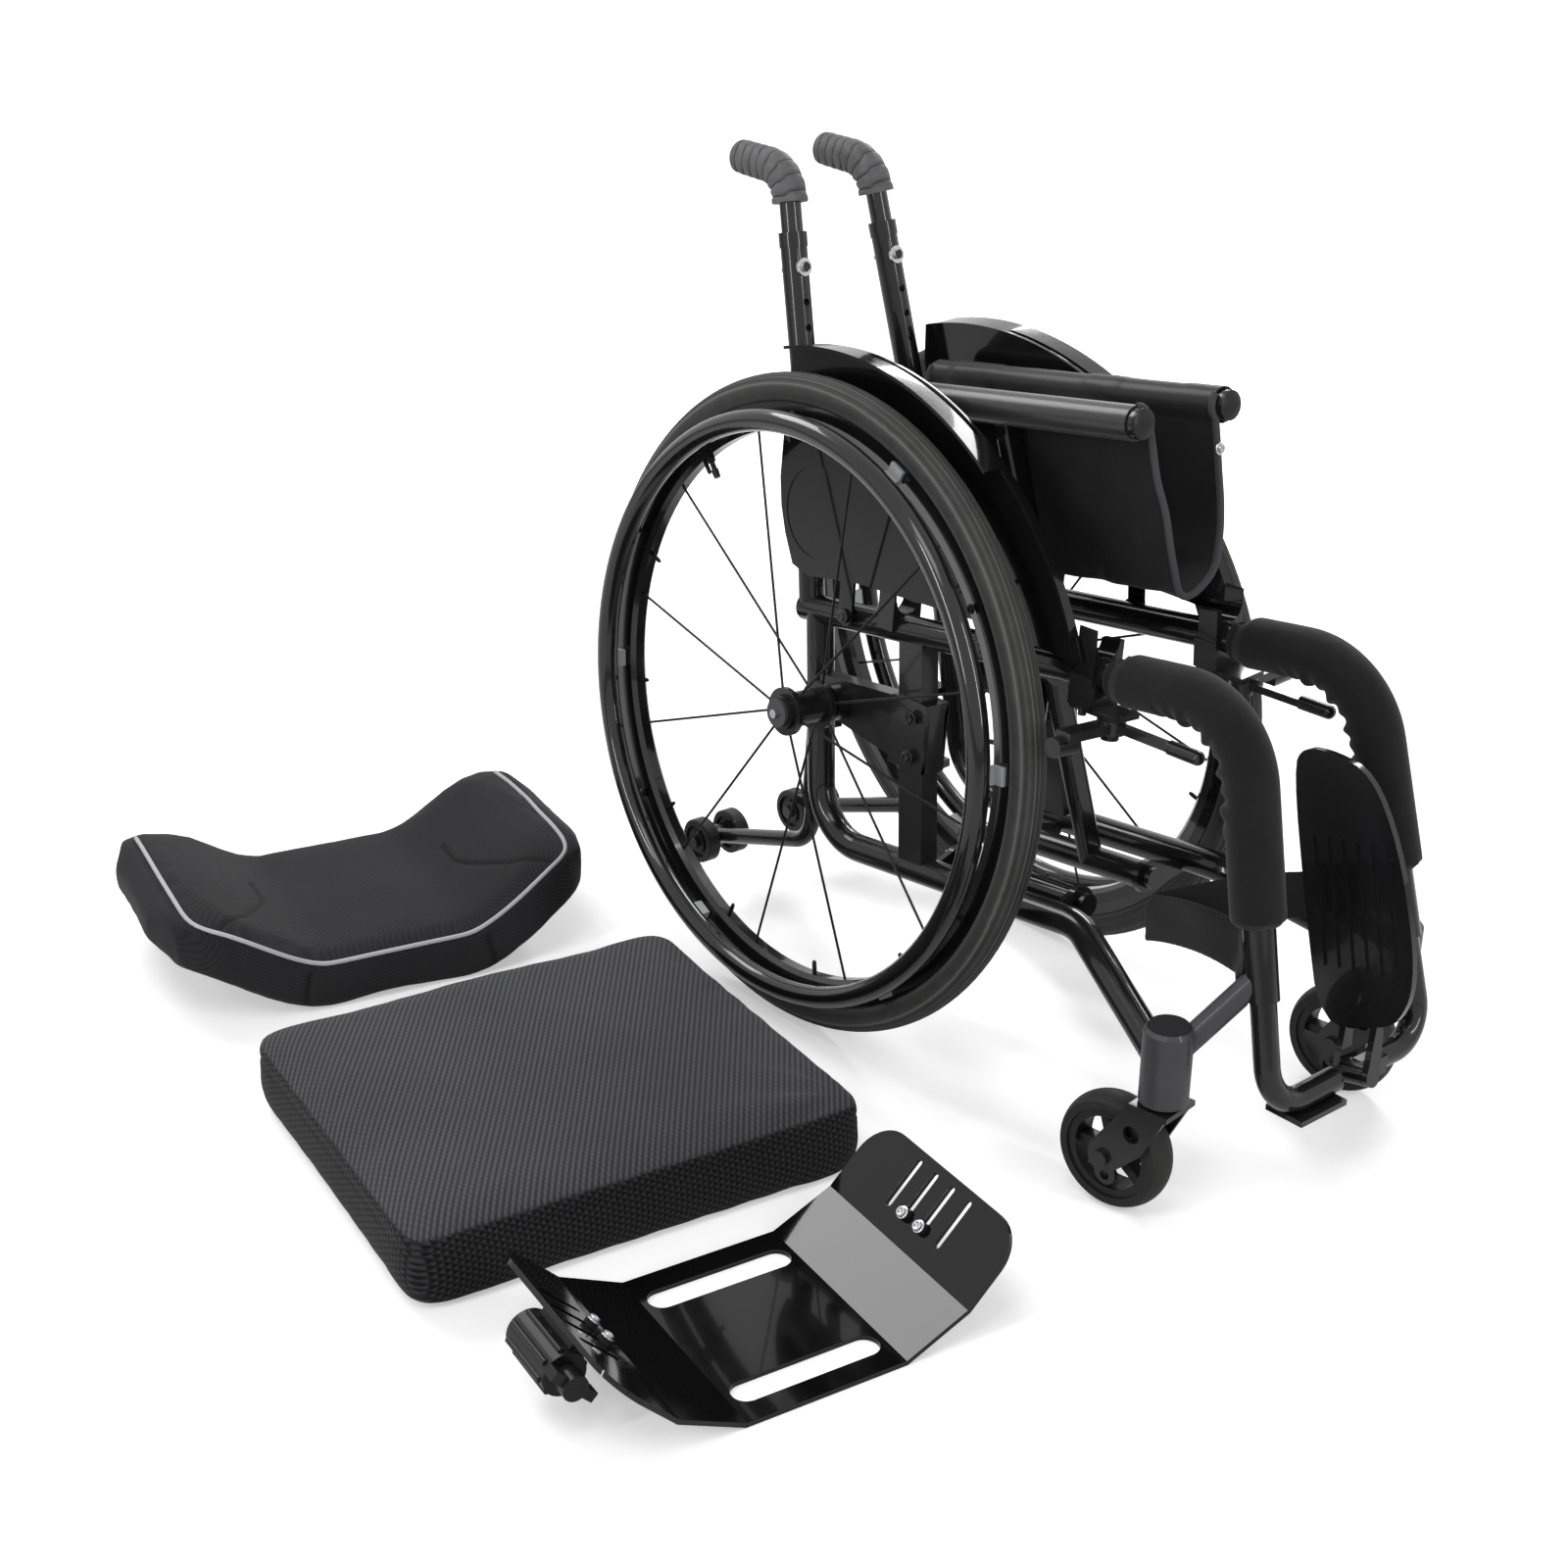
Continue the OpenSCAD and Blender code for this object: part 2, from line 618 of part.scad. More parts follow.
// Footrest hanger that telescopes into the front post
module hanger(s) color([0.04, 0.04, 0.045]) {
    if (s == right) sided(s) difference() {
        union() {
            run(hanger_path(16), hanger_r, hanger_d);
            translate([20, hinge_y - 12, hanger_z - 14]) cube([56, 36, 5]);
        }
        bar([10, hanger_y + 1, hanger_z], [40, hanger_y + 1, hanger_z], 14);
    }
    else difference() {
        union() {
            run(hanger_path(34), hanger_r, hanger_d);
            translate([12, hinge_y - 6, hanger_z - 8]) cube([26, 15, 16]);
            at_hinge() translate([0, -11, -8]) cube([14, 22, 16]);
            at_hinge() translate([0, -11, 0]) rotate([-90, 0, 0]) cylinder(d = 16, h = 22);
        }
        at_hinge() translate([0, -20, 0]) rotate([-90, 0, 0]) cylinder(d = 8 + 2 * run_fit, h = 60);
    }
}

// Tyre with fine tread grooves
module tyre(s) color([0.06, 0.06, 0.06]) sided(s) at_wheel(wheel_u) rotate_extrude($fn = 128) difference() {
    translate([tyre_mid, 0]) circle(d = tyre_w);
    translate([0, -40]) square([rim_top + weld_gap, 80]);
    for (a = [-52 : 13 : 52])
        translate([tyre_mid, 0] + [cos(a), sin(a)] * (tyre_w / 2 + groove_out))
            circle(d = groove_d, $fn = 16);
}

// Deep section wheel rim
module rim(s) color([0.03, 0.03, 0.03]) sided(s) at_wheel(wheel_u) rotate_extrude($fn = 128) {
    polygon([[rim_low, -5], [rim_low + 4, -9], [rim_top - 10, -tyre_w * 0.4], [rim_top, -tyre_w * 0.4],
        [rim_top, tyre_w * 0.4], [rim_top - 10, tyre_w * 0.4], [rim_low + 4, 9], [rim_low, 5]]);
}

module hub_body() {
    translate([0, 0, -hub_half]) cylinder(d = 32, h = 2 * hub_half);
    for (h = [-22, 17]) translate([0, 0, h]) cylinder(d = 44, h = 5);
}

// Straight spokes from the hub flanges to the rim
module spokes(s) color([0.02, 0.02, 0.02]) sided(s) at_wheel(wheel_u) difference() {
    for (i = [0 : spoke_count - 1]) rotate(360 / spoke_count * i + 10) {
        e = i % 2 == 1 ? 19.5 : -19.5;
        bar([14, 0, e], [rim_low + 3, 0, 0], spoke_d);
    }
    rotate_extrude($fn = 128) translate([rim_low - weld_gap, -20]) square([30, 40]);
    for (h = [-22, 17]) translate([0, 0, h - weld_gap]) cylinder(d = 44 + 2 * weld_gap, h = 5 + 2 * weld_gap);
    translate([0, 0, -hub_half]) cylinder(d = 32 + 2 * weld_gap, h = 2 * hub_half);
}

// Hub with two flanges
module hub(s) color([0.05, 0.05, 0.05]) sided(s) at_wheel(wheel_u) difference() {
    hub_body();
    translate([0, 0, -60]) cylinder(d = axle_d + 2 * run_fit, h = 120);
}

// Push rim with the tabs that bolt it to the wheel rim
module handrim(s) color([0.02, 0.02, 0.02]) sided(s) at_wheel(wheel_u) {
    translate([0, 0, handrim_out]) rotate_extrude($fn = 128)
        translate([handrim_d / 2, 0]) circle(d = handrim_tube);
    for (i = [0 : tab_count - 1]) rotate(360 / tab_count * i + 25) {
        translate([rim_top - 13, -8, tyre_w * 0.4 + weld_gap]) cube([10, 16, 3]);
        translate([rim_top - 16, -8, tyre_w * 0.4 + weld_gap]) cube([4, 16, handrim_out - tyre_w * 0.4]);
    }
}

module at_caster(s) translate([s * caster_x, -caster_y, 0])
    rotate([0, 0, caster_turn + 90]) children();

// Bent fork with its stem and axle bolt
module caster_fork(s) color([0.05, 0.05, 0.055]) at_caster(s) {
    side = caster_w / 2 + 2.5;
    translate([0, 0, head_low - 8]) cylinder(d = stem_d, h = 52);
    translate([0, 0, head_low - 3]) cylinder(d = 24, h = 2.6);
    translate([-17, -side - 4, head_low - 8]) cube([36, 2 * side + 8, 5]);
    for (k = [-1, 1]) difference() {
        translate([0, k > 0 ? side + 4 : -side, 0]) rotate([90, 0, 0]) linear_extrude(4) {
            polygon([[-17, head_low - 3.4], [19, head_low - 3.4], [caster_trail + 13, caster_d / 2 + 8],
                [caster_trail + 12, caster_d / 2 - 10], [caster_trail - 8, caster_d / 2 - 12], [4, 66]]);
            translate([caster_trail, caster_d / 2]) circle(d = 27);
            translate([caster_trail - 4, caster_d / 2 - 13]) circle(d = 20);
        }
        translate([caster_trail - 4, -60, caster_d / 2 - 15]) rotate([-90, 0, 0]) cylinder(d = 8, h = 120);
        translate([14, -60, 82]) rotate([-90, 0, 0]) cylinder(d = 15, h = 120);
    }
    translate([caster_trail, -side - 7, caster_d / 2]) rotate([-90, 0, 0]) cylinder(d = 8, h = 2 * side + 14);
    for (h = [-side - 8, side + 4]) translate([caster_trail, h, caster_d / 2]) rotate([-90, 0, 0])
        cylinder(d = 14, h = 4);
}

module at_caster_axle(s) at_caster(s) translate([caster_trail, 0, caster_d / 2])
    rotate([-90, 0, 0]) children();

// Cast caster wheel with large windows
module caster_core(s) color([0.05, 0.05, 0.05]) at_caster_axle(s) difference() {
    union() {
        rotate_extrude() translate([caster_d / 2 - 18, -caster_w / 2 + 2]) square([7, caster_w - 4]);
        translate([0, 0, -caster_w / 2]) cylinder(d = 22, h = caster_w);
        for (i = [0 : 4]) rotate(72 * i) translate([8, -4, -6]) cube([caster_d / 2 - 24, 8, 12]);
    }
    translate([0, 0, -40]) cylinder(d = 8 + 2 * run_fit, h = 80);
}

// Solid caster tyre
module caster_tyre(s) color([0.12, 0.12, 0.12]) at_caster_axle(s) rotate_extrude() intersection() {
    translate([caster_d / 2 - 11 + weld_gap, -caster_w / 2]) square([11 - weld_gap, caster_w]);
    translate([caster_d / 2 - 24, 0]) circle(d = 48);
}

// Anti tip tube that slides in its socket
module anti_tip_tube(s) color([0.04, 0.04, 0.045]) sided(s) {
    run(anti_path, anti_r, anti_d);
    translate(anti_end) rotate([0, 90, 0]) cylinder(d = anti_d + 6, h = 20, center = true);
    translate(anti_end - [29, 0, 0]) rotate([0, 90, 0]) cylinder(d = 8, h = 58);
    for (h = [-31, 27]) translate(anti_end + [h, 0, 0]) rotate([0, 90, 0]) cylinder(d = 13, h = 4);
}

// Pair of anti tip wheels on one axle
module anti_tip_wheels(s) color([0.05, 0.05, 0.05]) sided(s) for (h = [-26.5, 11.5])
    translate(anti_end + [h, 0, 0]) rotate([0, 90, 0]) rotate_extrude() difference() {
        translate([4 + run_fit, 0]) square([anti_wheel_d / 2 - 4 - run_fit, 15]);
        translate([12, -1]) square([5, 4]);
        translate([12, 12]) square([5, 4]);
        for (e = [-1, 1]) translate([anti_wheel_d / 2 + 1.4, 7.5 + e * 9])
            rotate(45) square(6, center = true);
    }

// Half of the calf strap, sewn round a front tube
module calf_strap(s) color([0.03, 0.03, 0.03]) sided(s) {
    c = [side_x - strap_z * tan(lean), -strap_y + 1];
    a = acos((c.x - 2.2) / strap_len);
    go = [-cos(a), sin(a)];
    side = [go.y, -go.x];
    r = tube_d / 2 + 0.9;
    n = 20;
    face = [-1, -0.5, 0, 0.5, 1];
    rings = [for (k = [0 : n])
        let (t = k / n, d = r * 0.2 + t * (strap_len - r * 0.2), drop = -strap_drop * pow(t, 1.6),
            puff = (1 - ease(min(1, t * 6))) * (r - 1), belly = 3 * sin(180 * t))
        [for (q = concat([for (f = face) [-1, f]], [for (f = face) [1, -f]]))
            let (o = q.x * (1.3 + puff + 0.3 * (1 - q.y * q.y)) + belly, p = c + go * d + side * o)
            [p.x, p.y, strap_z + drop + q.y * strap_h / 2 * (1 - 0.06 * sin(180 * t))]]];
    difference() {
        skin(rings);
        run(drawn(main_path, 2), front_r, tube_d + 2 * near_gap);
        strut(near_gap);
    }
}

module brace_bar(x0, x1, a) {
    translate([x0, a, 0]) rotate([0, x1 > x0 ? rest_angle : -rest_angle, 0]) {
        translate([-arm_w / 2 + arm_t / 2, -arm_t / 2, 0]) cube([arm_w - arm_t, arm_t, arm_len]);
        for (e = [-1, 1]) translate([e * (arm_w - arm_t) / 2, 0, 0]) cylinder(d = arm_t, h = arm_len);
        translate([0, -arm_t / 2, low_len]) rotate([-90, 0, 0]) cylinder(d = 36, h = arm_t);
    }
}

// Place of the seat tube beside a rail when the chair is open, turned back with the arm
tube_by = let (x = side_x - seat_at(arm_a) * sin(lean) - rail_open_x, z = tube_b - rail_open_b)
    [x * cos(fold_range) - z * sin(fold_range), x * sin(fold_range) + z * cos(fold_range)];

// Brace arm with its pivot tube, its seat rail and a hollow that clears the seat tube
module cross_arm(s, a) color([0.04, 0.04, 0.045]) braced() difference() {
    union() {
        brace_bar(s * pivot_x, -s * rail_x, a);
        translate([s * pivot_x, -262.5, 0]) rotate([-90, 0, 0]) cylinder(d = pivot_tube_d, h = 145);
        translate([-s * rail_x, seat_rail_a, brace_h]) rotate([-90, 0, 0])
            cylinder(d = seat_rail_d, h = seat_rail_len);
    }
    translate([s * pivot_x, -300, 0]) rotate([-90, 0, 0]) cylinder(d = 12 + 2 * run_fit, h = 240);
    translate([0, -260, brace_h * pivot_x / (pivot_x + rail_x)]) rotate([-90, 0, 0])
        cylinder(d = centre_bolt_d + 2 * run_fit, h = 120);
    translate([-s * rail_x, seat_rail_a - 2, brace_h]) rotate([-90, 0, 0])
        cylinder(d = seat_rail_d - 6, h = seat_rail_len + 4);
    translate([-s * (rail_x + tube_by.x), a - 20, brace_h + tube_by.y]) rotate([-90, 0, 0])
        cylinder(d = tube_d + 3 * near_gap, h = 40);
}

// Brace arm from the right pivot to the left seat rail
module cross_arm_a() cross_arm(right, arm_a + arm_pitch);

// Brace arm from the left pivot to the right seat rail
module cross_arm_b() cross_arm(left, arm_a);

// Bolt through the middle of the brace
module brace_bolt() color([0.5, 0.5, 0.52]) braced()
    translate([0, arm_a, brace_h * pivot_x / (pivot_x + rail_x)]) rotate([-90, 0, 0]) {
        translate([0, 0, -arm_t / 2 - 3]) cylinder(d = centre_bolt_d, h = arm_t + arm_pitch + 6);
        translate([0, 0, -arm_t / 2 - 7.3]) cylinder(d = 18, h = 7);
        translate([0, 0, arm_t / 2 + arm_pitch + 0.3]) cylinder(d = 18, h = 7);
    }

// Half width of the hanging sling at a share t of its height, drawn in between the arms by v
function sling_half(t, v) = 4.5 + (rail_x - seat_rail_d / 2 - 7.4)
    * (v * pow(t, 1.15) + (1 - v) * (1 - pow(1 - t, 2.4)));

// Fabric seat that hangs in a fold between the rails
module seat_sling() color([0.03, 0.03, 0.03]) braced() {
    n = 16;
    m = 11;
    back = -14;
    front = -340;
    rings = [for (k = [0 : n])
        let (f = k / n, a = front + (back - front) * f, calm = ease(min(1, max(0, (a + 320) / 80))),
            by_arm = 1 - ease(min(1, max(0, (abs(a - arm_a - arm_pitch / 2) - 28) / 70))), lift = 40 * by_arm,
            sway = 9 * (1 - calm), wave = 2.2 * (1 - calm) + 0.8 * sin(f * 540))
        let (mid = [for (i = [-m : m]) let (t = abs(i) / m, h = t == 0 ? 0 : sling_half(t, by_arm),
                x = (i < 0 ? -h : h) + sway * (1 - t) + wave * sin(t * 300) * (1 - t),
                z = brace_h - 6 - (sling_depth - lift) * (1 - t) - (t == 0 ? 4 : 0))
            [x, z]])
        let (lie = [for (i = [0 : 2 * m])
            let (g = unit(mid[min(2 * m, i + 1)] - mid[max(0, i - 1)])) [-g.y, g.x]])
        concat(
            [for (i = [0 : 2 * m]) let (p = mid[i] + lie[i] * sling_t / 2) [p.x, a, p.y]],
            [for (i = [2 * m : -1 : 0]) let (p = mid[i] - lie[i] * sling_t / 2) [p.x, a, p.y]])];
    skin(rings);
}

// A closed outline with its corners cut n times
function rounded(p, n) = n == 0 ? p : rounded([for (i = [0 : len(p) - 1]) let (q = p[(i + 1) % len(p)])
    each [p[i] * 0.75 + q * 0.25, p[i] * 0.25 + q * 0.75]], n - 1);

module plate_outline() {
    k = plate_len - 251;
    polygon(rounded([[42, 28], [46, 130], [46, 236 + k], [34, 255 + k], [4, 252 + k], [-30, 238 + k],
        [-50, 186 + k * 0.7], [-57, 118], [-53, 74], [-38, 48], [-20, 38]], 2));
}

// Footplate, turned up, with ribs below and its hinge pin
module footplate() color([0.03, 0.03, 0.035]) at_hinge() {
    translate([plate_rise - plate_t / 2, 0, 0]) rotate([90, 0, 90]) linear_extrude(plate_t) plate_outline();
    for (y = [-40 : 14 : 34]) translate([plate_rise - plate_t / 2 - 2.2, y, 84]) cube([3, 3.4, 110]);
    for (e = [-17.6, 11.6]) translate([0, e, 0]) rotate([-90, 0, 0]) linear_extrude(6) {
        circle(d = 16);
        polygon([[-6, -5], [plate_rise - 3, -44], [plate_rise + 3, -56], [plate_rise + 3, -34], [7, 4]]);
    }
    translate([0, -17, 0]) rotate([-90, 0, 0]) cylinder(d = 8, h = 34);
}

function soft_ring(a, b, n, p, z) = [for (i = [0 : n - 1]) let (t = 360 * i / n, c = cos(t), d = sin(t))
    [a * sign(c) * pow(abs(c), p), b * sign(d) * pow(abs(d), p), z]];

// Seat cushion with a crowned top and soft sides
module seat_cushion() color([0.05, 0.05, 0.055]) translate(cushion_at) rotate(cushion_turn) {
    h = cushion_w / 2;
    d = cushion_d / 2;
    lay = [[0.92, 0], [0.97, 3], [0.99, 12], [1, 26], [0.995, 42], [0.995, 56], [0.99, 63], [0.975, 67.5],
        [0.94, 69.5], [0.8, 70.5], [0.6, 71.3], [0.4, 71.7], [0.2, 72]];
    skin([for (q = lay) let (z = q.y * cushion_h / 72)
        [for (c = soft_ring(h * q.x, d * q.x, 56, 0.12 + 0.2 * (1 - q.x), z)) c]]);
}

// Share of the back cushion's rise at x, from its flat middle to its tips
function back_up(x) = min(1, max(0, (x - back_flat) / back_run));

// How far a corner of the radii r draws in at x from the middle
function corner_in(r, x) = let (u = max(0, (x - back_w / 2 + r.x) / r.x)) r.y * (1 - sqrt(max(0, 1 - u * u)));

// Back cushion, a pad with a flat middle, raised wings and rounded corners
module back_cushion() color([0.05, 0.05, 0.055]) translate(back_at) rotate(back_turn) {
    n = 26;
    m = 28;
    half = back_w / 2;
    rings = [for (k = [0 : n]) let (f = -1 + 2 * k / n, l = abs(f), u = back_up(l * half),
            turn = atan(back_rise * 6 * u * (1 - u) / back_run) * sign(f), z = back_rise * u * u * (3 - 2 * u),
            end = sqrt(max(0.03, 1 - pow(max(0, (l - 0.86) / 0.14), 2.2))), th = back_t * (0.35 + 0.65 * end),
            low = -back_h / 2 + corner_in(back_front_r, l * half) + 5 * (1 - end),
            top = back_h / 2 - corner_in(back_rear_r, l * half) - 5 * (1 - end))
        [for (i = [0 : m - 1]) let (t = 360 * i / m, c = cos(t), d = sin(t),
            y = (low + top) / 2 + (top - low) / 2 * sign(c) * pow(abs(c), 0.24),
            o = th / 2 * sign(d) * pow(abs(d), 0.34))
            [half * f - sin(turn) * o, y, z + back_t / 2 + cos(turn) * o]]];
    skin(rings);
}

module at_shell() translate(shell_at) rotate(shell_turn) children();

module slot_cut(x, y, w, d, t) translate([x, y, -t]) linear_extrude(3 * t) {
    translate([-w / 2, -d / 2]) square([w, d]);
    for (e = [-1, 1]) translate([e * w / 2, 0]) circle(d = d);
}

// Half of the shell's bent section, outer face first
function shell_half() = let (
    a = [shell_mid / 2, 0],
    b = a + shell_slant * [cos(shell_fold), sin(shell_fold)],
    c = b + shell_wing * [cos(wing_fold), sin(wing_fold)],
    k = shell_t * tan(shell_fold / 2),
    h = shell_t * tan((wing_fold - shell_fold) / 2))
    [a, b, c, c + shell_t * [-sin(wing_fold), cos(wing_fold)],
        b + shell_t * [-sin(shell_fold), cos(shell_fold)] - h * [cos(shell_fold), sin(shell_fold)],
        a + [-k, shell_t]];

// What rounds off a wing's outer corner on the side e
module wing_corner(e) translate([shell_wing - shell_r, e * (shell_len / 2 - shell_r), -shell_t])
    linear_extrude(3 * shell_t) difference() {
        translate([0, e < 0 ? -shell_r - 2 : 0]) square(shell_r + 2);
        circle(r = shell_r);
    }

// Bent back shell with two long slots and slotted wings
module back_shell() color([0.02, 0.02, 0.025]) at_shell() difference() {
    half = shell_half();
    translate([0, shell_len / 2, 0]) rotate([90, 0, 0]) linear_extrude(shell_len)
        polygon(concat(half, [for (i = [len(half) - 1 : -1 : 0]) [-half[i].x, half[i].y]]));
    for (y = [-64, 62]) slot_cut(0, y, shell_mid - 36, 24, shell_t);
    for (s = [right, left]) on_wing(s) {
        for (y = [-33, -11, 11, 33]) slot_cut(slot_x, y, slot_len, 6.5, shell_t);
        for (e = [-1, 1]) wing_corner(e);
    }
}

module on_wing(s) mirror([s < 0 ? 1 : 0, 0, 0]) translate([shell_mid / 2, 0, 0]) rotate([0, -shell_fold, 0])
    translate([shell_slant, 0, 0]) rotate([0, shell_fold - wing_fold, 0]) children();

module at_wing(s) at_shell() on_wing(s) children();

module at_clamp() at_wing(right) translate([clamp_x, 0, -24]) children();

// Ribbed clamp under the left wing with the bolts of both wings
module shell_clamp() color([0.04, 0.04, 0.045]) {
    for (s = [-1, 1], y = [-11, 11]) at_wing(s) translate([slot_x - slot_len / 2 + 1, y, -5]) {
        cylinder(d = 6.3, h = 12);
        translate([0, 0, 5 + shell_t + weld_gap]) cylinder(d = 11, h = 4);
        translate([0, 0, 1]) cylinder(d = 11, h = 4 - weld_gap);
    }
    difference() {
        at_clamp() translate([0, -30, 0]) {
            rotate([-90, 0, 0]) cylinder(d = clamp_d, h = 60);
            for (i = [0 : 7]) rotate([0, 45 * i, 0]) translate([clamp_d / 2, 4, 0]) rotate([-90, 0, 0])
                cylinder(d = 5, h = 52);
            translate([-10, 6, 10]) cube([16, 48, 13.8]);
            translate([-36, 6, 18]) cube([40, 48, 5.8]);
        }
        at_clamp() translate([0, -60, 0]) rotate([-90, 0, 0]) cylinder(d = knob_stem_d + 2 * run_fit, h = 60);
    }
}

// Wing knob that tightens the clamp
module shell_knob() color([0.03, 0.03, 0.03]) at_clamp() {
    translate([0, -48, 0]) rotate([-90, 0, 0]) cylinder(d = knob_stem_d, h = 40);
    translate([0, -48, 0]) rotate([-90, 0, 0]) cylinder(d = 20, h = 16);
    for (e = [0, 180]) rotate([0, e, 0]) translate([0, -46, -4]) cube([21, 12, 8]);
}

main_tube(right);  // main_tube_right
main_tube(left);  // main_tube_left
base_tube(right);  // base_tube_right
base_tube(left);  // base_tube_left
axle_post(right);  // axle_post_right
axle_post(left);  // axle_post_left
caster_head(right);  // caster_head_right
caster_head(left);  // caster_head_left
frame_pad(right);  // frame_pad_right
frame_pad(left);  // frame_pad_left
side_guard(right);  // side_guard_right
side_guard(left);  // side_guard_left
back_cane(right);  // back_cane_right
back_cane(left);  // back_cane_left
push_handle(right);  // push_handle_right
push_handle(left);  // push_handle_left
push_grip(right);  // push_grip_right
push_grip(left);  // push_grip_left
axle_pin(right);  // axle_pin_right
axle_pin(left);  // axle_pin_left
release_button(right);  // release_button_right
release_button(left);  // release_button_left
brake_mount(right);  // brake_mount_right
brake_mount(left);  // brake_mount_left
brake_lever(right);  // brake_lever_right
brake_lever(left);  // brake_lever_left
hanger(right);  // hanger_right
hanger(left);  // hanger_left
tyre(right);  // tyre_right
tyre(left);  // tyre_left
rim(right);  // rim_right
rim(left);  // rim_left
spokes(right);  // spokes_right
spokes(left);  // spokes_left
hub(right);  // hub_right
hub(left);  // hub_left
handrim(right);  // handrim_right
handrim(left);  // handrim_left
caster_fork(right);  // caster_fork_right
caster_fork(left);  // caster_fork_left
caster_core(right);  // caster_core_right
caster_core(left);  // caster_core_left
caster_tyre(right);  // caster_tyre_right
caster_tyre(left);  // caster_tyre_left
anti_tip_tube(right);  // anti_tip_tube_right
anti_tip_tube(left);  // anti_tip_tube_left
anti_tip_wheels(right);  // anti_tip_wheels_right
anti_tip_wheels(left);  // anti_tip_wheels_left
calf_strap(right);  // calf_strap_right
calf_strap(left);  // calf_strap_left
cross_arm_a();
cross_arm_b();
brace_bolt();
seat_sling();
footplate();
seat_cushion();
back_cushion();
back_shell();
shell_clamp();
shell_knob();
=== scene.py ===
# Looks of a folding sports wheelchair, folded, with its cushions and its back shell beside it
import json
from math import acos, atan, copysign, cos, pi, radians, sin, sqrt, tan

import bpy
import numpy as np
from bpy.props import FloatProperty, FloatVectorProperty, PointerProperty
from mathutils import Matrix, Vector
from mathutils.bvhtree import BVHTree

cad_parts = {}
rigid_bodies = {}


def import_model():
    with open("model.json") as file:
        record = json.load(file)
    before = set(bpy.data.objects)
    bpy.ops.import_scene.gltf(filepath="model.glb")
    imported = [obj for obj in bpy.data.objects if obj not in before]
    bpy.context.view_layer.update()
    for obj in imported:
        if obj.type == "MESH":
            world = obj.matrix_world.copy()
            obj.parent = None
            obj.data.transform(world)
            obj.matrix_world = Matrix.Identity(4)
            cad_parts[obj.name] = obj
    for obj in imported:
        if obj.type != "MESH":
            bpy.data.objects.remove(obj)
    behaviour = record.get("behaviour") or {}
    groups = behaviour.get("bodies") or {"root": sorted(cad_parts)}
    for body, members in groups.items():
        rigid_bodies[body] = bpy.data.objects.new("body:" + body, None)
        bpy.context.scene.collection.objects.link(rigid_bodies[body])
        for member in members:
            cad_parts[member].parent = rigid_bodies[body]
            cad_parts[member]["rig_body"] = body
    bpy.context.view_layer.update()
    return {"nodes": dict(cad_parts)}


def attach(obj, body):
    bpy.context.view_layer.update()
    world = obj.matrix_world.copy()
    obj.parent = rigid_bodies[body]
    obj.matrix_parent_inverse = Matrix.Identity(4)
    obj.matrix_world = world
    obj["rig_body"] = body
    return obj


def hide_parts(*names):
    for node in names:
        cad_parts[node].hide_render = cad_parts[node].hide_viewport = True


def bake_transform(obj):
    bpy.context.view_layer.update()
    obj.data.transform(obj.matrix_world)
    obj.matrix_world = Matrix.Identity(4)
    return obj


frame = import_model()
CAD = frame["nodes"]
SIDES = (("right", -1), ("left", 1))

bl_info = {
    "name": "Folded sports wheelchair",
    "version": (1, 0, 0),
    "blender": (4, 5, 0),
    "location": "View3D > Sidebar > Wheelchair",
    "description": "Dresses the folded wheelchair with its finishes, fabrics, fittings and studio",
    "category": "Object",
}

# Places that the solids share, in metres and radians
LEAN = radians(4.2)
SLOPE = radians(6)
SIDE_X = 0.1044
SEAT_W = 0.37502
FRONT_R = 0.070
FRONT_LEAN = radians(14)
CANE_LEAN = radians(13.5)
CANE_MID = (0.08701, 0.56002)
CANE_TOP = 0.70002
WHEEL_U = 0.0534
WHEEL_W = 0.29612
PIVOT_Z = 0.1494
RAIL_X = 0.051
RAIL_R = 0.0125
BRACE_H = 0.4235
CUSHION_AT = (-0.454, -0.056)
CUSHION_TURN = radians(-8.3)
BACK_AT = (-0.401, 0.375)
BACK_TURN = radians(-11.5)
BACK_SIZE = (0.436, 0.279, 0.054)
BACK_RISE = 0.057
BACK_FLAT = 0.0654
BACK_RUN = 0.133
BACK_FRONT_R = (0.096, 0.084)
BACK_REAR_R = (0.060, 0.054)
SHELL_AT = (-0.480, -0.373)
SHELL_TURN = radians(-8)
FLOOR_GAP = 0.0004


def lw(u, y, w, side):
    """Place of a point of the leaning side frame."""
    c, s = cos(LEAN), sin(LEAN)
    return Vector((side * (SIDE_X + u * c - w * s), y, u * s + w * c))


def outward(side):
    """Direction of a rear wheel's axle, away from the chair."""
    return Vector((side * cos(LEAN), 0, sin(LEAN)))


def cane_at(w):
    """How far back the leaning cane is at a height w of the side frame."""
    return CANE_MID[0] + (w - CANE_MID[1]) * tan(CANE_LEAN)


def braced(x, a, b):
    """Place of a point of the sloping brace."""
    c, s = cos(SLOPE), sin(SLOPE)
    return Vector((x, a * c + b * s, PIVOT_Z - a * s + b * c))


def seat_at(y):
    """Height of the seat tube at y."""
    return SEAT_W - y * tan(SLOPE)


def on_floor(at, turn, x, y, z):
    """Place of a point of a loose piece that lies turned on the floor."""
    c, s = cos(turn), sin(turn)
    return Vector((at[0] + x * c - y * s, at[1] + x * s + y * c, z))


def ease(t):
    """Smooth step from 0 to 1."""
    t = np.clip(t, 0, 1)
    return t * t * (3 - 2 * t)


class Tone:
    """A shader socket that takes part in sums."""

    def __init__(self, finish, socket):
        self.finish, self.socket = finish, socket


def sum_method(operation, turned):
    """A method that joins a socket with a number or a socket, in this order or turned round."""
    def method(self, other):
        pair = (other, self) if turned else (self, other)
        return self.finish.node("Math", {"operation": operation}, dict(enumerate(pair)))
    return method


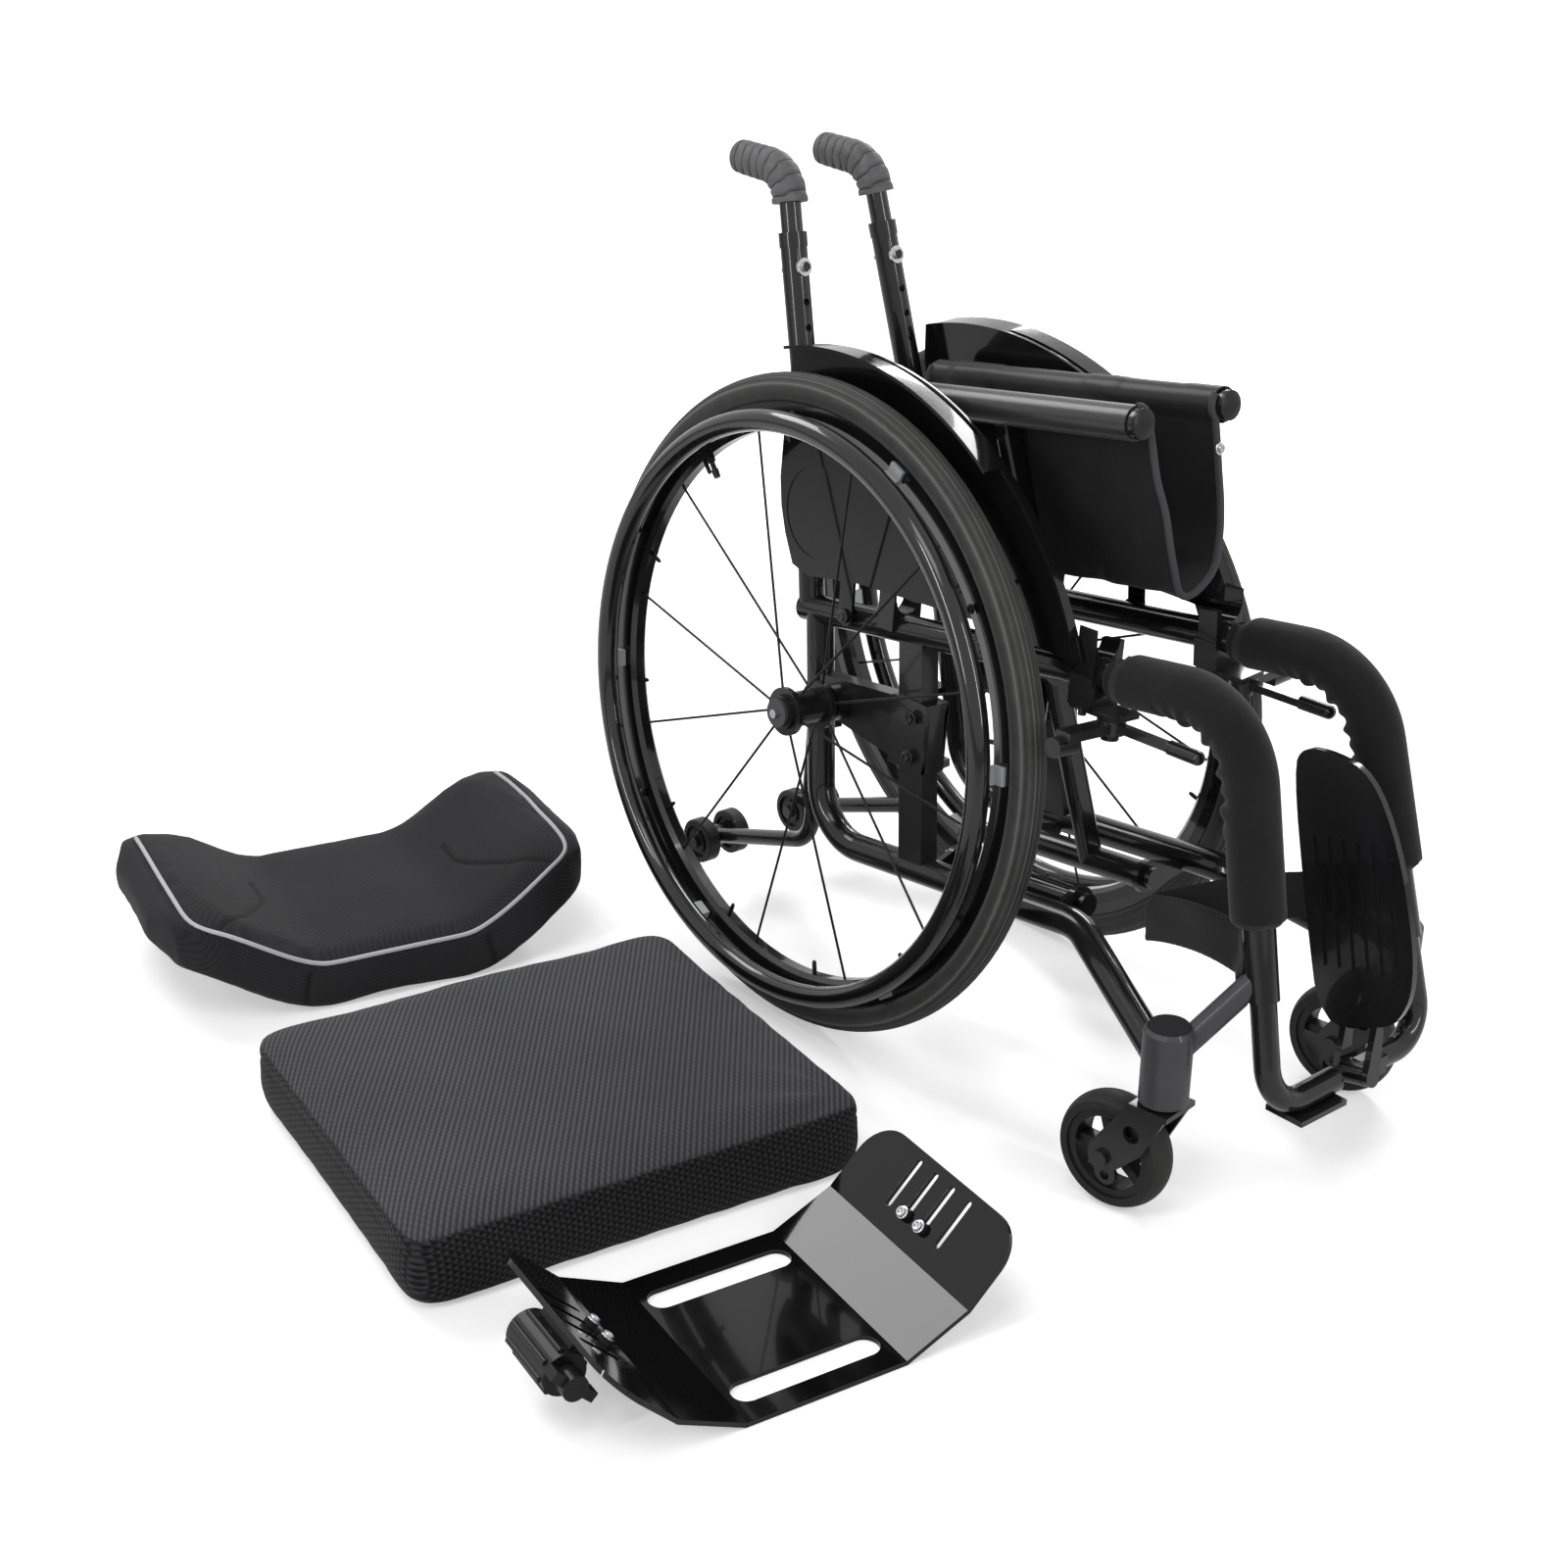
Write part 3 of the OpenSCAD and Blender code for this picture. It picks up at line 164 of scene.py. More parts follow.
for sign, operation in (("add", "ADD"), ("sub", "SUBTRACT"), ("mul", "MULTIPLY"), ("pow", "POWER")):
    setattr(Tone, f"__{sign}__", sum_method(operation, False))
    setattr(Tone, f"__r{sign}__", sum_method(operation, True))


class Finish:
    """A material that is put together round one principled shader."""

    def __init__(self, name, **constants):
        self.material = bpy.data.materials.new(name)
        self.material.use_nodes = True
        self.tree = self.material.node_tree
        self.shader = self.tree.nodes["Principled BSDF"]
        for socket, value in constants.items():
            self.give(socket.replace("_", " "), value)

    def node(self, kind, settings=None, sockets=None, out=0):
        """Any shader node: its kind, its settings, its sockets' values or links."""
        made = self.tree.nodes.new("ShaderNode" + kind)
        for key, value in (settings or {}).items():
            setattr(made, key, value)
        for key, value in (sockets or {}).items():
            if isinstance(value, Tone):
                self.tree.links.new(value.socket, made.inputs[key])
            else:
                made.inputs[key].default_value = value
        return Tone(self, made.outputs[out])

    def give(self, socket, value):
        """Sets or links a socket of the shader."""
        if isinstance(value, Tone):
            self.tree.links.new(value.socket, self.shader.inputs[socket])
        else:
            self.shader.inputs[socket].default_value = value

    def place(self, turn=0.0, at=(0, 0, 0)):
        """Object coordinates, moved to a place and turned about Z."""
        spot = self.node("TexCoord", out=3)
        if turn or any(at):
            spot = self.node("VectorMath", {"operation": "SUBTRACT"}, {0: spot, 1: at})
            spot = self.node("Mapping", None, {"Vector": spot, "Rotation": (0, 0, -turn)})
        return spot

    def axes(self, spot):
        """The three numbers of a place."""
        return [self.node("SeparateXYZ", None, {0: spot}, out=k) for k in range(3)]

    def noise(self, scale, detail=2.0, rough=0.5, spot=None):
        """Cloudy value from 0 to 1."""
        return self.node("TexNoise", None, {"Vector": spot or self.place(), "Scale": scale,
                                            "Detail": detail, "Roughness": rough})

    def wave(self, value, period):
        """Sine of a length, from -1 to 1."""
        return self.node("Math", {"operation": "SINE"}, {0: value * (2 * pi / period)})

    def step(self, value, low, high):
        """Smooth step of a value."""
        return self.node("MapRange", {"interpolation_type": "SMOOTHSTEP"},
                         {"Value": value, "From Min": low, "From Max": high})

    def share(self, name):
        """A number that the piece carries at its points."""
        return self.node("Attribute", {"attribute_name": name}, out=2)

    def skin(self, factor, low, high, rough, height, depth, strength):
        """Gives a colour between two, a roughness and a bump of a depth in metres; returns the material."""
        ends = {0: factor, 6: (*low, 1), 7: (*high, 1)}
        bump = {"Height": height, "Distance": depth, "Strength": strength}
        self.give("Base Color", self.node("Mix", {"data_type": "RGBA"}, ends, out=2))
        self.give("Roughness", rough)
        self.give("Normal", self.node("Bump", None, bump))
        return self.material


def coated_tube(name, dark, light, rough, coat=0.3):
    """Black coated metal: a faint orange peel under a clear coat."""
    f = Finish(name, Coat_Weight=coat, Coat_Roughness=0.05, Specular_IOR_Level=0.18)
    cloud = f.noise(14, 3)
    return f.skin(cloud, dark, light, rough + cloud * 0.10, f.noise(900, 2), 0.00010, 0.25)


def cast_part(name, dark, light, rough, coat=0.4):
    """Black coated casting with a fine sand grain under its gloss."""
    f = Finish(name, Coat_Weight=coat, Coat_Roughness=0.10, Specular_IOR_Level=0.24)
    cloud = f.noise(30, 3)
    return f.skin(cloud, dark, light, rough + cloud * 0.14, f.noise(1500, 3), 0.00016, 0.35)


def moulded(name, dark, light, rough, grain=0.0001, coat=0.0, shine=0.3):
    """Moulded plastic with a little flow and grain."""
    f = Finish(name, Coat_Weight=coat, Coat_Roughness=0.03, Specular_IOR_Level=shine)
    return f.skin(f.noise(9, 2), dark, light, rough + f.noise(55, 3) * 0.08, f.noise(1100, 2), grain, 0.3)


def turned_steel(name, dark, light, rough):
    """Bright steel with fine turning lines."""
    f = Finish(name, Metallic=1.0)
    drawn = f.node("Mapping", None, {"Vector": f.place(), "Scale": (1, 1, 8)})
    lines = f.noise(700, 2, spot=drawn)
    return f.skin(lines, dark, light, rough + lines * 0.12, lines, 0.00004, 0.4)


def rubber_skin(name, dark, light, rough):
    """Rubber with dust in its pores, darker where the piece has grooves: painted shade in the grooves."""
    f = Finish(name, Specular_IOR_Level=0.20)
    dust = f.noise(80, 4, 0.6)
    # The groove mask darkens the rubber in the grooves: painted shade.
    tint = dust * (1 - f.share("groove") * 0.85)
    return f.skin(tint, dark, light, rough + dust * 0.15, f.noise(700, 3), 0.0002, 0.5)


def tyre_rubber(name, side):
    """Tyre with fine lines round its tread and dust between them."""
    f = Finish(name, Specular_IOR_Level=0.20)
    x, y, z = f.axes(f.place(0, lw(WHEEL_U, 0, WHEEL_W, side)))
    across = x * (side * cos(LEAN)) + z * sin(LEAN)
    height = z * cos(LEAN) - x * (side * sin(LEAN))
    far = (height * height + y * y) ** 0.5
    tread = f.step(far, 0.276, 0.284)
    lines = f.wave(across, 0.0042) * 0.5 + 0.5
    rings = f.wave(far, 0.0060) * 0.5 + 0.5
    mark = lines ** 6 * tread + rings ** 8 * (1 - tread) * 0.6
    dust = f.noise(60, 4, 0.6)
    tint, height = dust * 0.35 + mark * 0.65, f.noise(700, 3) * 0.2 - mark
    dark, light = (0.018, 0.018, 0.018), (0.125, 0.124, 0.121)
    return f.skin(tint, dark, light, 0.46 + dust * 0.18, height, 0.0004, 0.6)


def soft_sleeve(name, dark, light):
    """Fleecy knit over foam."""
    f = Finish(name, Sheen_Weight=0.14, Sheen_Roughness=0.5, Specular_IOR_Level=0.12)
    x, y, z = f.axes(f.place())
    knit = f.wave(y - z * 0.6, 0.0016) * f.wave(x + z, 0.0016) * 0.5 + 0.5
    cloud = f.noise(40, 4, 0.6)
    tint, height = cloud * 0.7 + knit * 0.3, knit * 0.5 + f.noise(600, 3) * 0.5
    return f.skin(tint, dark, light, 0.9, height, 0.0003, 0.6)


def woven_cloth(name, dark, light, period=0.0014):
    """Plain woven strong cloth, shiny where it is drawn tight over a rail."""
    f = Finish(name, Sheen_Weight=0.06, Sheen_Roughness=0.4, Specular_IOR_Level=0.22, Coat_Roughness=0.28)
    f.give("Coat Weight", f.share("tight") * 0.8)
    x, y, z = f.axes(f.place())
    weave = f.wave(y, period) * f.wave(x + z, period) * 0.5 + 0.5
    cloud = f.noise(18, 4, 0.6)
    tint, height = weave * 0.4 + cloud * 0.6, weave * 0.5 + f.noise(90, 3) * 0.8
    return f.skin(tint, dark, light, 0.68 + cloud * 0.18, height, 0.0004, 0.5)


def spacer_mesh(name, at, turn, dark, light):
    """Cover of the seat cushion: slanting rows of ribs above, a honeycomb net on the sides. The top is painted
    lighter than the sides, partly for its own ribbed mesh and partly as painted light falling from above.
    """
    f = Finish(name, Sheen_Weight=0.05, Sheen_Roughness=0.4, Specular_IOR_Level=0.15)
    x, y, z = f.axes(f.place(turn, (*at, 0)))
    c, s = 0.857, 0.515
    row, along = x * c - y * s, x * s + y * c
    ribs = f.wave(row, 0.0046) * 0.5 + 0.5
    beads = f.wave(along + row * 0.5, 0.0052) * 0.5 + 0.5
    above = 0.30 + ribs * (0.45 + beads * 0.25)
    girth, up, cell = x + y, z * 0.87, 0.0050
    net = f.wave(girth, cell) + f.wave(girth * 0.5 + up, cell) + f.wave(up - girth * 0.5, cell)
    beside = f.step(net, -1.0, 1.6)
    top = f.share("top")
    # The top's weave is far lighter than the sides' net: partly the cover's own mesh, partly painted light from
    # above.
    weave = above * top + beside * 0.30 * (1 - top)
    tint, height = weave * (0.75 + f.noise(7, 3) * 0.5), ribs * top + beside * (1 - top)
    return f.skin(tint, dark, light, 0.85, height, 0.0006, 0.6)


def fine_net(name, at, turn, dark, light):
    """Cover of the back cushion: a small net, darkened along its seams by painted shade in their pressed-in
    grooves.
    """
    f = Finish(name, Sheen_Weight=0.05, Sheen_Roughness=0.4, Specular_IOR_Level=0.15)
    x, y, z = f.axes(f.place(turn, (*at, 0)))
    girth = x + y * 0.35 + z * 0.2
    net = f.wave(girth, 0.0042) * f.wave(y - z + x * 0.3, 0.0042) * 0.5 + 0.5
    # The seam mask darkens the net along the seams: painted shade in their grooves.
    tint = (net * 0.5 + f.noise(8, 3) * 0.5) * (1 - f.share("seam") * 0.7)
    return f.skin(tint, dark, light, 0.85, net, 0.0005, 0.6)


def finishes():
    """Every finish of the chair, made from the panel's colours."""
    tone = bpy.context.scene.chair_tones
    black, grey, steel = (np.array(c[:]) for c in (tone.coating, tone.cloth, tone.steel))
    return {
        "tube": coated_tube("tube_coating", black * 0.5, black * 1.1, 0.18, 0.45),
        "rim": coated_tube("rim_coating", black * 0.35, black * 0.8, 0.14, 0.7),
        "cast": cast_part("casting_coating", black * 0.6, black * 1.3, 0.26),
        # The caster heads' black coating is painted several times lighter than the other castings: a painted
        # reflection of the white floor on their sides.
        "head": cast_part("head_coating_painted_reflection", black * 3.2, black * 5.0, 0.34, 0.2),
        "plug": moulded("plug_plastic", black * 1.4, black * 2.6, 0.70, 0.0001, 0.0, 0.05),
        "spoke": coated_tube("spoke_coating", black * 0.4, black, 0.30, 0.1),
        "gloss": moulded("gloss_plastic", black * 0.2, black * 0.5, 0.05, 0.00003, 0.35, 0.18),
        "plate": moulded("plate_plastic", black * 0.5, black * 1.2, 0.15, 0.00004, 0.5, 0.22),
        "guard": moulded("guard_plastic", black * 0.3, black * 0.8, 0.10, 0.00002, 0.45, 0.12),
        "plastic": moulded("matte_plastic", black * 0.8, black * 1.7, 0.40, 0.0002, 0.1, 0.18),
        "steel": turned_steel("bolt_steel", steel * 0.7, steel, 0.22),
        "grey": moulded("cap_plastic", (0.045, 0.045, 0.047), (0.075, 0.075, 0.080), 0.36),
        "tab": moulded("tab_plastic", (0.30, 0.31, 0.32), (0.55, 0.56, 0.57), 0.16),
        "tyre_right": tyre_rubber("tyre_rubber_right", -1),
        "tyre_left": tyre_rubber("tyre_rubber_left", 1),
        "wheel": rubber_skin("wheel_rubber", (0.010, 0.010, 0.010), (0.030, 0.029, 0.028), 0.48),
        "grip": rubber_skin("grip_rubber", (0.050, 0.050, 0.052), (0.190, 0.190, 0.195), 0.50),
        "sleeve": soft_sleeve("pad_sleeve", black * 0.45, black * 1.5),
        "sling": woven_cloth("sling_cloth", grey * 0.20, grey * 0.75),
        "strap": woven_cloth("strap_cloth", grey * 0.25, grey * 0.7, 0.0022),
        # The sling's black binding is painted lighter than the sling cloth: a painted highlight along its
        # raised edge.
        "binding": woven_cloth("binding_tape_painted_highlight", grey * 1.2, grey * 3.6, 0.0016),
        "seat": spacer_mesh("seat_cover", CUSHION_AT, CUSHION_TURN, grey * 0.12, grey * 4.2),
        "back": fine_net("back_cover", BACK_AT, BACK_TURN, grey * 0.20, grey * 1.5),
        "piping": woven_cloth("piping_cloth", tone.piping[:], np.array(tone.piping[:]) * 1.25, 0.0010),
    }


# Materials by the names above, filled when the finishes are made
FINISH = {}


def alone(obj):
    """Selects one object only and makes it active."""
    bpy.ops.object.select_all(action="DESELECT")
    obj.select_set(True)
    bpy.context.view_layer.objects.active = obj


def dress(obj, finish, smooth=40):
    """Gives a piece its finish and smooth shading."""
    obj.data.materials.clear()
    obj.data.materials.append(FINISH[finish])
    alone(obj)
    bpy.ops.object.shade_smooth_by_angle(angle=radians(smooth))
    return obj


def points(obj):
    """The places of a mesh's points."""
    co = np.empty(len(obj.data.vertices) * 3)
    obj.data.vertices.foreach_get("co", co)
    return co.reshape(-1, 3)


def move_points(obj, co):
    """Puts a mesh's points at new places."""
    obj.data.vertices.foreach_set("co", np.asarray(co, float).ravel())
    obj.data.update()


def normals(obj):
    """The directions that a mesh's points face."""
    n = np.empty(len(obj.data.vertices) * 3, np.float32)
    obj.data.vertex_normals.foreach_get("vector", n)
    return n.reshape(-1, 3)


def carry(obj, name, values):
    """Stores a number at each point of a mesh."""
    data = obj.data.attributes.new(name, "FLOAT", "POINT")
    data.data.foreach_set("value", np.asarray(values, np.float32))


def added(name, data):
    """A new object of the scene."""
    obj = bpy.data.objects.new(name, data)
    bpy.context.scene.collection.objects.link(obj)
    return obj


def applied(obj, modifier):
    """Applies a modifier of a piece."""
    alone(obj)
    bpy.ops.object.modifier_apply(modifier=modifier.name)


def modified(obj, kind, **settings):
    """Adds a modifier with its settings to a piece and applies it."""
    made = obj.modifiers.new(kind, kind)
    for key, value in settings.items():
        setattr(made, key, value)
    applied(obj, made)


def edited(obj, step, **options):
    """Runs one mesh operator on the whole of a piece."""
    alone(obj)
    bpy.ops.object.mode_set(mode="EDIT")
    bpy.ops.mesh.select_all(action="SELECT")
    step(**options)
    bpy.ops.object.mode_set(mode="OBJECT")


def copy_of(node, name):
    """A merged copy of a solid, free to be shaped."""
    piece = added(name, CAD[node].data.copy())
    edited(piece, bpy.ops.mesh.remove_doubles, threshold=0.000004)
    return piece


def settle(piece, body, node=None):
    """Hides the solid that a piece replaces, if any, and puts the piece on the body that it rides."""
    if node:
        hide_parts(node)
    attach(piece, body)


def eased(node, width, finish, smooth=30):
    """A copy of a solid with its edges rounded, in its place."""
    piece = copy_of(node, node + "_eased")
    edited(piece, bpy.ops.mesh.dissolve_limited, angle_limit=radians(0.5))
    modified(piece, "BEVEL", width=width, segments=2, limit_method="ANGLE", angle_limit=radians(38))
    dress(piece, finish, smooth)
    modified(piece, "WEIGHTED_NORMAL", keep_sharp=True, weight=100)
    settle(piece, CAD[node]["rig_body"], node)


def bolt_head(name, radius, height, washer=1.55):
    """A bolt head with a socket, on a washer, along +Z from the origin."""
    made = []
    for wide, deep, middle in ((1, 0.8, 0.6), (washer, 0.3, 0.15)):
        bpy.ops.mesh.primitive_cylinder_add(vertices=24, radius=radius * wide, depth=height * deep,
                                            location=(0, 0, height * middle))
        bpy.ops.object.transform_apply(location=True)
        made.append(bpy.context.object)
    head = made[0]
    alone(head)
    bpy.ops.object.mode_set(mode="EDIT")
    bpy.ops.mesh.select_all(action="DESELECT")
    bpy.ops.object.mode_set(mode="OBJECT")
    for face in head.data.polygons:
        face.select = face.normal.z > 0.9
    bpy.ops.object.mode_set(mode="EDIT")
    bpy.ops.mesh.inset(thickness=radius * 0.42)
    bpy.ops.mesh.extrude_region_move(TRANSFORM_OT_translate={"value": (0, 0, -height * 0.4)})
    bpy.ops.object.mode_set(mode="OBJECT")
    modified(joined(made, name), "BEVEL", width=radius * 0.10, segments=2, limit_method="ANGLE")
    return head


def joined(pieces, name):
    """Several pieces as one."""
    alone(pieces[0])
    for piece in pieces:
        piece.select_set(True)
    if len(pieces) > 1:
        bpy.ops.object.join()
    pieces[0].name = name
    return pieces[0]


def copies(model, name, places):
    """Copies of a model that stands along +Z, one at each place and axis, joined into one piece."""
    made = [added(name, model.data.copy()) for _ in places]
    for piece, (at, axis) in zip(made, places):
        turn = Vector((0, 0, 1)).rotation_difference(Vector(axis)).to_matrix().to_4x4()
        piece.data.transform(Matrix.Translation(at) @ turn)
    return joined(made, name)


def drop(obj):
    """Removes a model that has been copied."""
    bpy.data.objects.remove(obj)


def tube(name, path, radii, sides):
    """A round tube along points, with a radius at each, made from a curve."""
    data = bpy.data.curves.new(name, "CURVE")
    data.dimensions = "3D"
    data.bevel_depth = 1.0
    data.bevel_resolution = sides
    data.use_fill_caps = True
    line = data.splines.new("POLY")
    line.points.add(len(path) - 1)
    radii = [radii] * len(path) if np.isscalar(radii) else radii
    for point, place, radius in zip(line.points, path, radii):
        point.co = (*place, 1)
        point.radius = radius
    alone(added(name, data))
    bpy.ops.object.convert(target="MESH")
    return bpy.context.object


def finer(piece, levels=1):
    """Subdivides a soft piece."""
    modified(piece, "SUBSURF", levels=levels, render_levels=levels)


# Settings of the cloth that the padded covers are made of
STUFFING = {"quality": 5, "mass": 0.3, "tension_stiffness": 15, "compression_stiffness": 15,
            "bending_stiffness": 0.5, "use_pressure": True}


def puffed(node, name, voxel, pressure, reach, steps=20):
    """A padded copy of a solid: remeshed, swelled by a cloth simulation no further than reach, made finer."""
    piece = copy_of(node, name)
    piece.data.remesh_voxel_size = voxel
    bpy.ops.object.voxel_remesh()
    before = points(piece)
    scene = bpy.context.scene
    scene.frame_set(1)
    cloth = piece.modifiers.new("stuffing", "CLOTH")
    for key, value in STUFFING.items():
        setattr(cloth.settings, key, value)
    cloth.settings.uniform_pressure_force = pressure
    cloth.settings.effector_weights.gravity = 0
    for step in range(1, steps + 1):
        scene.frame_set(step)
    applied(piece, cloth)
    scene.frame_set(1)
    shift = points(piece) - before
    length = np.linalg.norm(shift, axis=1, keepdims=True)
    move_points(piece, before + shift * np.minimum(1, reach / np.maximum(length, 1e-9)))
    modified(piece, "SMOOTH", factor=0.5, iterations=4)
    finer(piece)
    return piece


def length(name, description, default, low, high):
    """A length of the panel, in metres."""
    return FloatProperty(name=name, description=description, default=default, min=low, max=high,
                         subtype="DISTANCE", unit="LENGTH")


def colour(name, description, default):
    """A colour of the panel."""
    return FloatVectorProperty(name=name, description=description, default=default, min=0, max=1,
                               subtype="COLOR", size=3)


class ChairSizes(bpy.types.PropertyGroup):
    """Sizes of the soft pieces and fittings."""

    swell: length("Cushion swell", "How far the stuffing may push the seat cover out", 0.006, 0.0, 0.02)
    pad_swell: length("Pad swell", "How far the foam may push the pad sleeve out", 0.002, 0.0, 0.006)
    pucker: length("Pad puckers", "Depth of the puckers inside the front bend", 0.0030, 0.0, 0.004)
    crease: length("Seat creases", "Height of the creases at the seat cushion's corner", 0.0022, 0.0, 0.006)
    piping: length("Piping radius", "Radius of the back cushion's piping", 0.0021, 0.001, 0.004)


class ChairTones(bpy.types.PropertyGroup):
    """Colours of the finishes."""

    coating: colour("Coating", "Colour of the coated tubes and plastics", (0.011, 0.011, 0.012))
    cloth: colour("Cloth", "Colour of the covers, the sling and the strap", (0.022, 0.022, 0.024))
    piping: colour("Piping", "Colour of the back cushion's piping", (0.42, 0.42, 0.43))
    steel: colour("Steel", "Colour of the bright bolts", (0.62, 0.62, 0.64))


class CHAIR_OT_stage(bpy.types.Operator):
    """Sets up the pale floor, the soft studio light and the camera"""

    bl_idname = "chair.stage"
    bl_label = "Studio"

    # The floor's size, its glow, what that gains further out, and between which distances
    floor_size, glow, gain, fade = 60, 0.40, 0.60, (1.0, 2.6)

    # Strength of the surroundings as light, and where they are seen
    sky_light, sky_seen = 0.36, 1.0

    # Soft boxes: place, aim, direction of the long side, size and power
    lamps = {
        "key": ((-1.6, -1.0, 3.0), (-0.2, 0, 0.3), (1, 0, 0), (1.4, 1.0), 18),
        "side": ((2.35, 0.95, 2.2), (-0.1, -0.1, 0.5), (0.1, -1.9, 1.0), (2.3, 0.50), 50),
        "rear": ((-0.6, 2.1, 2.6), (-0.4, -0.3, 0.1), (1, 0, 0), (1.6, 1.0), 38),
        "front_strip": ((0.4, -2.8, 1.5), (0, 0, 0.4), (0, 0, 1), (1.8, 0.16), 22),
        "left_strip": ((-2.7, -0.2, 1.4), (0, 0, 0.4), (0, 0, 1), (1.8, 0.16), 22),
    }

    # The camera's place, its turns in degrees, its lens in millimetres
    view_at, view_turns = (-1.32862, -1.43424, 1.01869), (-39.245, 23.069, 0.413)
    focal, sensor = 50.68, 36

    def execute(self, context):
        context.scene.view_settings.view_transform = "Standard"
        self.floor(context)
        self.surround(context.scene)
        for name, lamp in self.lamps.items():
            self.lamp(name, *lamp)
        self.view(context.scene)
        return {"FINISHED"}

    def floor(self, context):
        """A wide pale floor that glows more away from the chair."""
        bpy.ops.mesh.primitive_plane_add(size=self.floor_size, location=(0, 0, 0))
        floor = context.object
        floor.name = "floor"
        paint = Finish("floor_paint", Roughness=0.9, Specular_IOR_Level=0.0, Emission_Strength=1.0)
        paint.give("Base Color", (0.90, 0.90, 0.90, 1))
        x, y, _ = paint.axes(paint.place())
        away = ((x + 0.2) * (x + 0.2) + y * y) ** 0.5
        glow = self.glow + paint.step(away, *self.fade) * self.gain
        paint.give("Emission Color", paint.node("LightPath") * glow)
        floor.data.materials.append(paint.material)

    def surround(self, scene):
        """White surroundings, full where they are seen or mirrored and weaker as light."""
        world = bpy.data.worlds.new("studio")
        scene.world = world
        world.use_nodes = True
        tree = world.node_tree
        rays = tree.nodes.new("ShaderNodeLightPath").outputs
        seen = rays["Is Camera Ray"]
        for other in (rays["Is Transmission Ray"], rays["Is Glossy Ray"]):
            either = tree.nodes.new("ShaderNodeMath")
            either.operation = "MAXIMUM"
            tree.links.new(seen, either.inputs[0])
            tree.links.new(other, either.inputs[1])
            seen = either.outputs[0]
        bright = tree.nodes.new("ShaderNodeMapRange")
        tree.links.new(seen, bright.inputs["Value"])
        bright.inputs["To Min"].default_value = self.sky_light
        bright.inputs["To Max"].default_value = self.sky_seen
        backing = tree.nodes["Background"].inputs
        backing["Color"].default_value = (1, 1, 1, 1)
        tree.links.new(bright.outputs[0], backing["Strength"])

    def view(self, scene):
        """The camera of the photograph."""
        yaw, pitch, roll = (radians(a) for a in self.view_turns)
        level = cos(pitch)
        ahead = Vector((-sin(yaw) * level, cos(yaw) * level, -sin(pitch)))
        across = Vector((cos(yaw), sin(yaw), 0))
        upward = across.cross(ahead)
        right = across * cos(roll) + upward * sin(roll)
        above = upward * cos(roll) - across * sin(roll)
        lens = bpy.data.cameras.new("view")
        lens.lens, lens.sensor_width = self.focal, self.sensor
        lens.clip_start, lens.clip_end = 0.05, 200
        camera = added("view", lens)
        place = Matrix((right, above, -ahead)).transposed().to_4x4()
        place.translation = self.view_at
        camera.matrix_world = place
        scene.camera = camera

    def lamp(self, name, place, aim, along, size, power):
        """A soft box at a place, turned to its aim, with its long side along a direction."""
        light = bpy.data.lights.new(name, "AREA")
        light.shape = "RECTANGLE"
        light.size, light.size_y = size
        light.energy = power
        back = (Vector(place) - Vector(aim)).normalized()
        upward = back.cross(Vector(along)).normalized()
        turn = Matrix((upward.cross(back), upward, back)).transposed().to_4x4()
        turn.translation = place
        added(name, light).matrix_world = turn


# Solids that are shown as they are, without their side, by finish
PLAIN = {
    "tube": ("main_tube", "base_tube", "back_cane", "hanger", "anti_tip_tube", "cross_arm_a", "cross_arm_b"),
    "rim": ("push_handle", "rim", "handrim"),
    "head": ("caster_head",),
    "grey": ("axle_pin",),
    "steel": ("release_button", "brace_bolt"),
    "spoke": ("spokes",),
    "cast": ("hub",),
    "wheel": ("caster_tyre",),
    "plastic": ("anti_tip_wheels", "shell_knob"),
}

# Solids whose edges are eased, with the radius and the finish
EASED = {"axle_post": (0.0010, "cast"), "side_guard": (0.0004, "guard"), "brake_mount": (0.0007, "cast"),
         "brake_lever": (0.0007, "cast"), "caster_fork": (0.0006, "cast"), "caster_core": (0.0005, "plastic"),
         "footplate": (0.0008, "plate"), "shell_clamp": (0.0005, "plastic")}


def nodes_of(base):
    """The solids of one kind, alone or on both sides."""
    return [name for name in (base, base + "_right", base + "_left") if name in CAD]


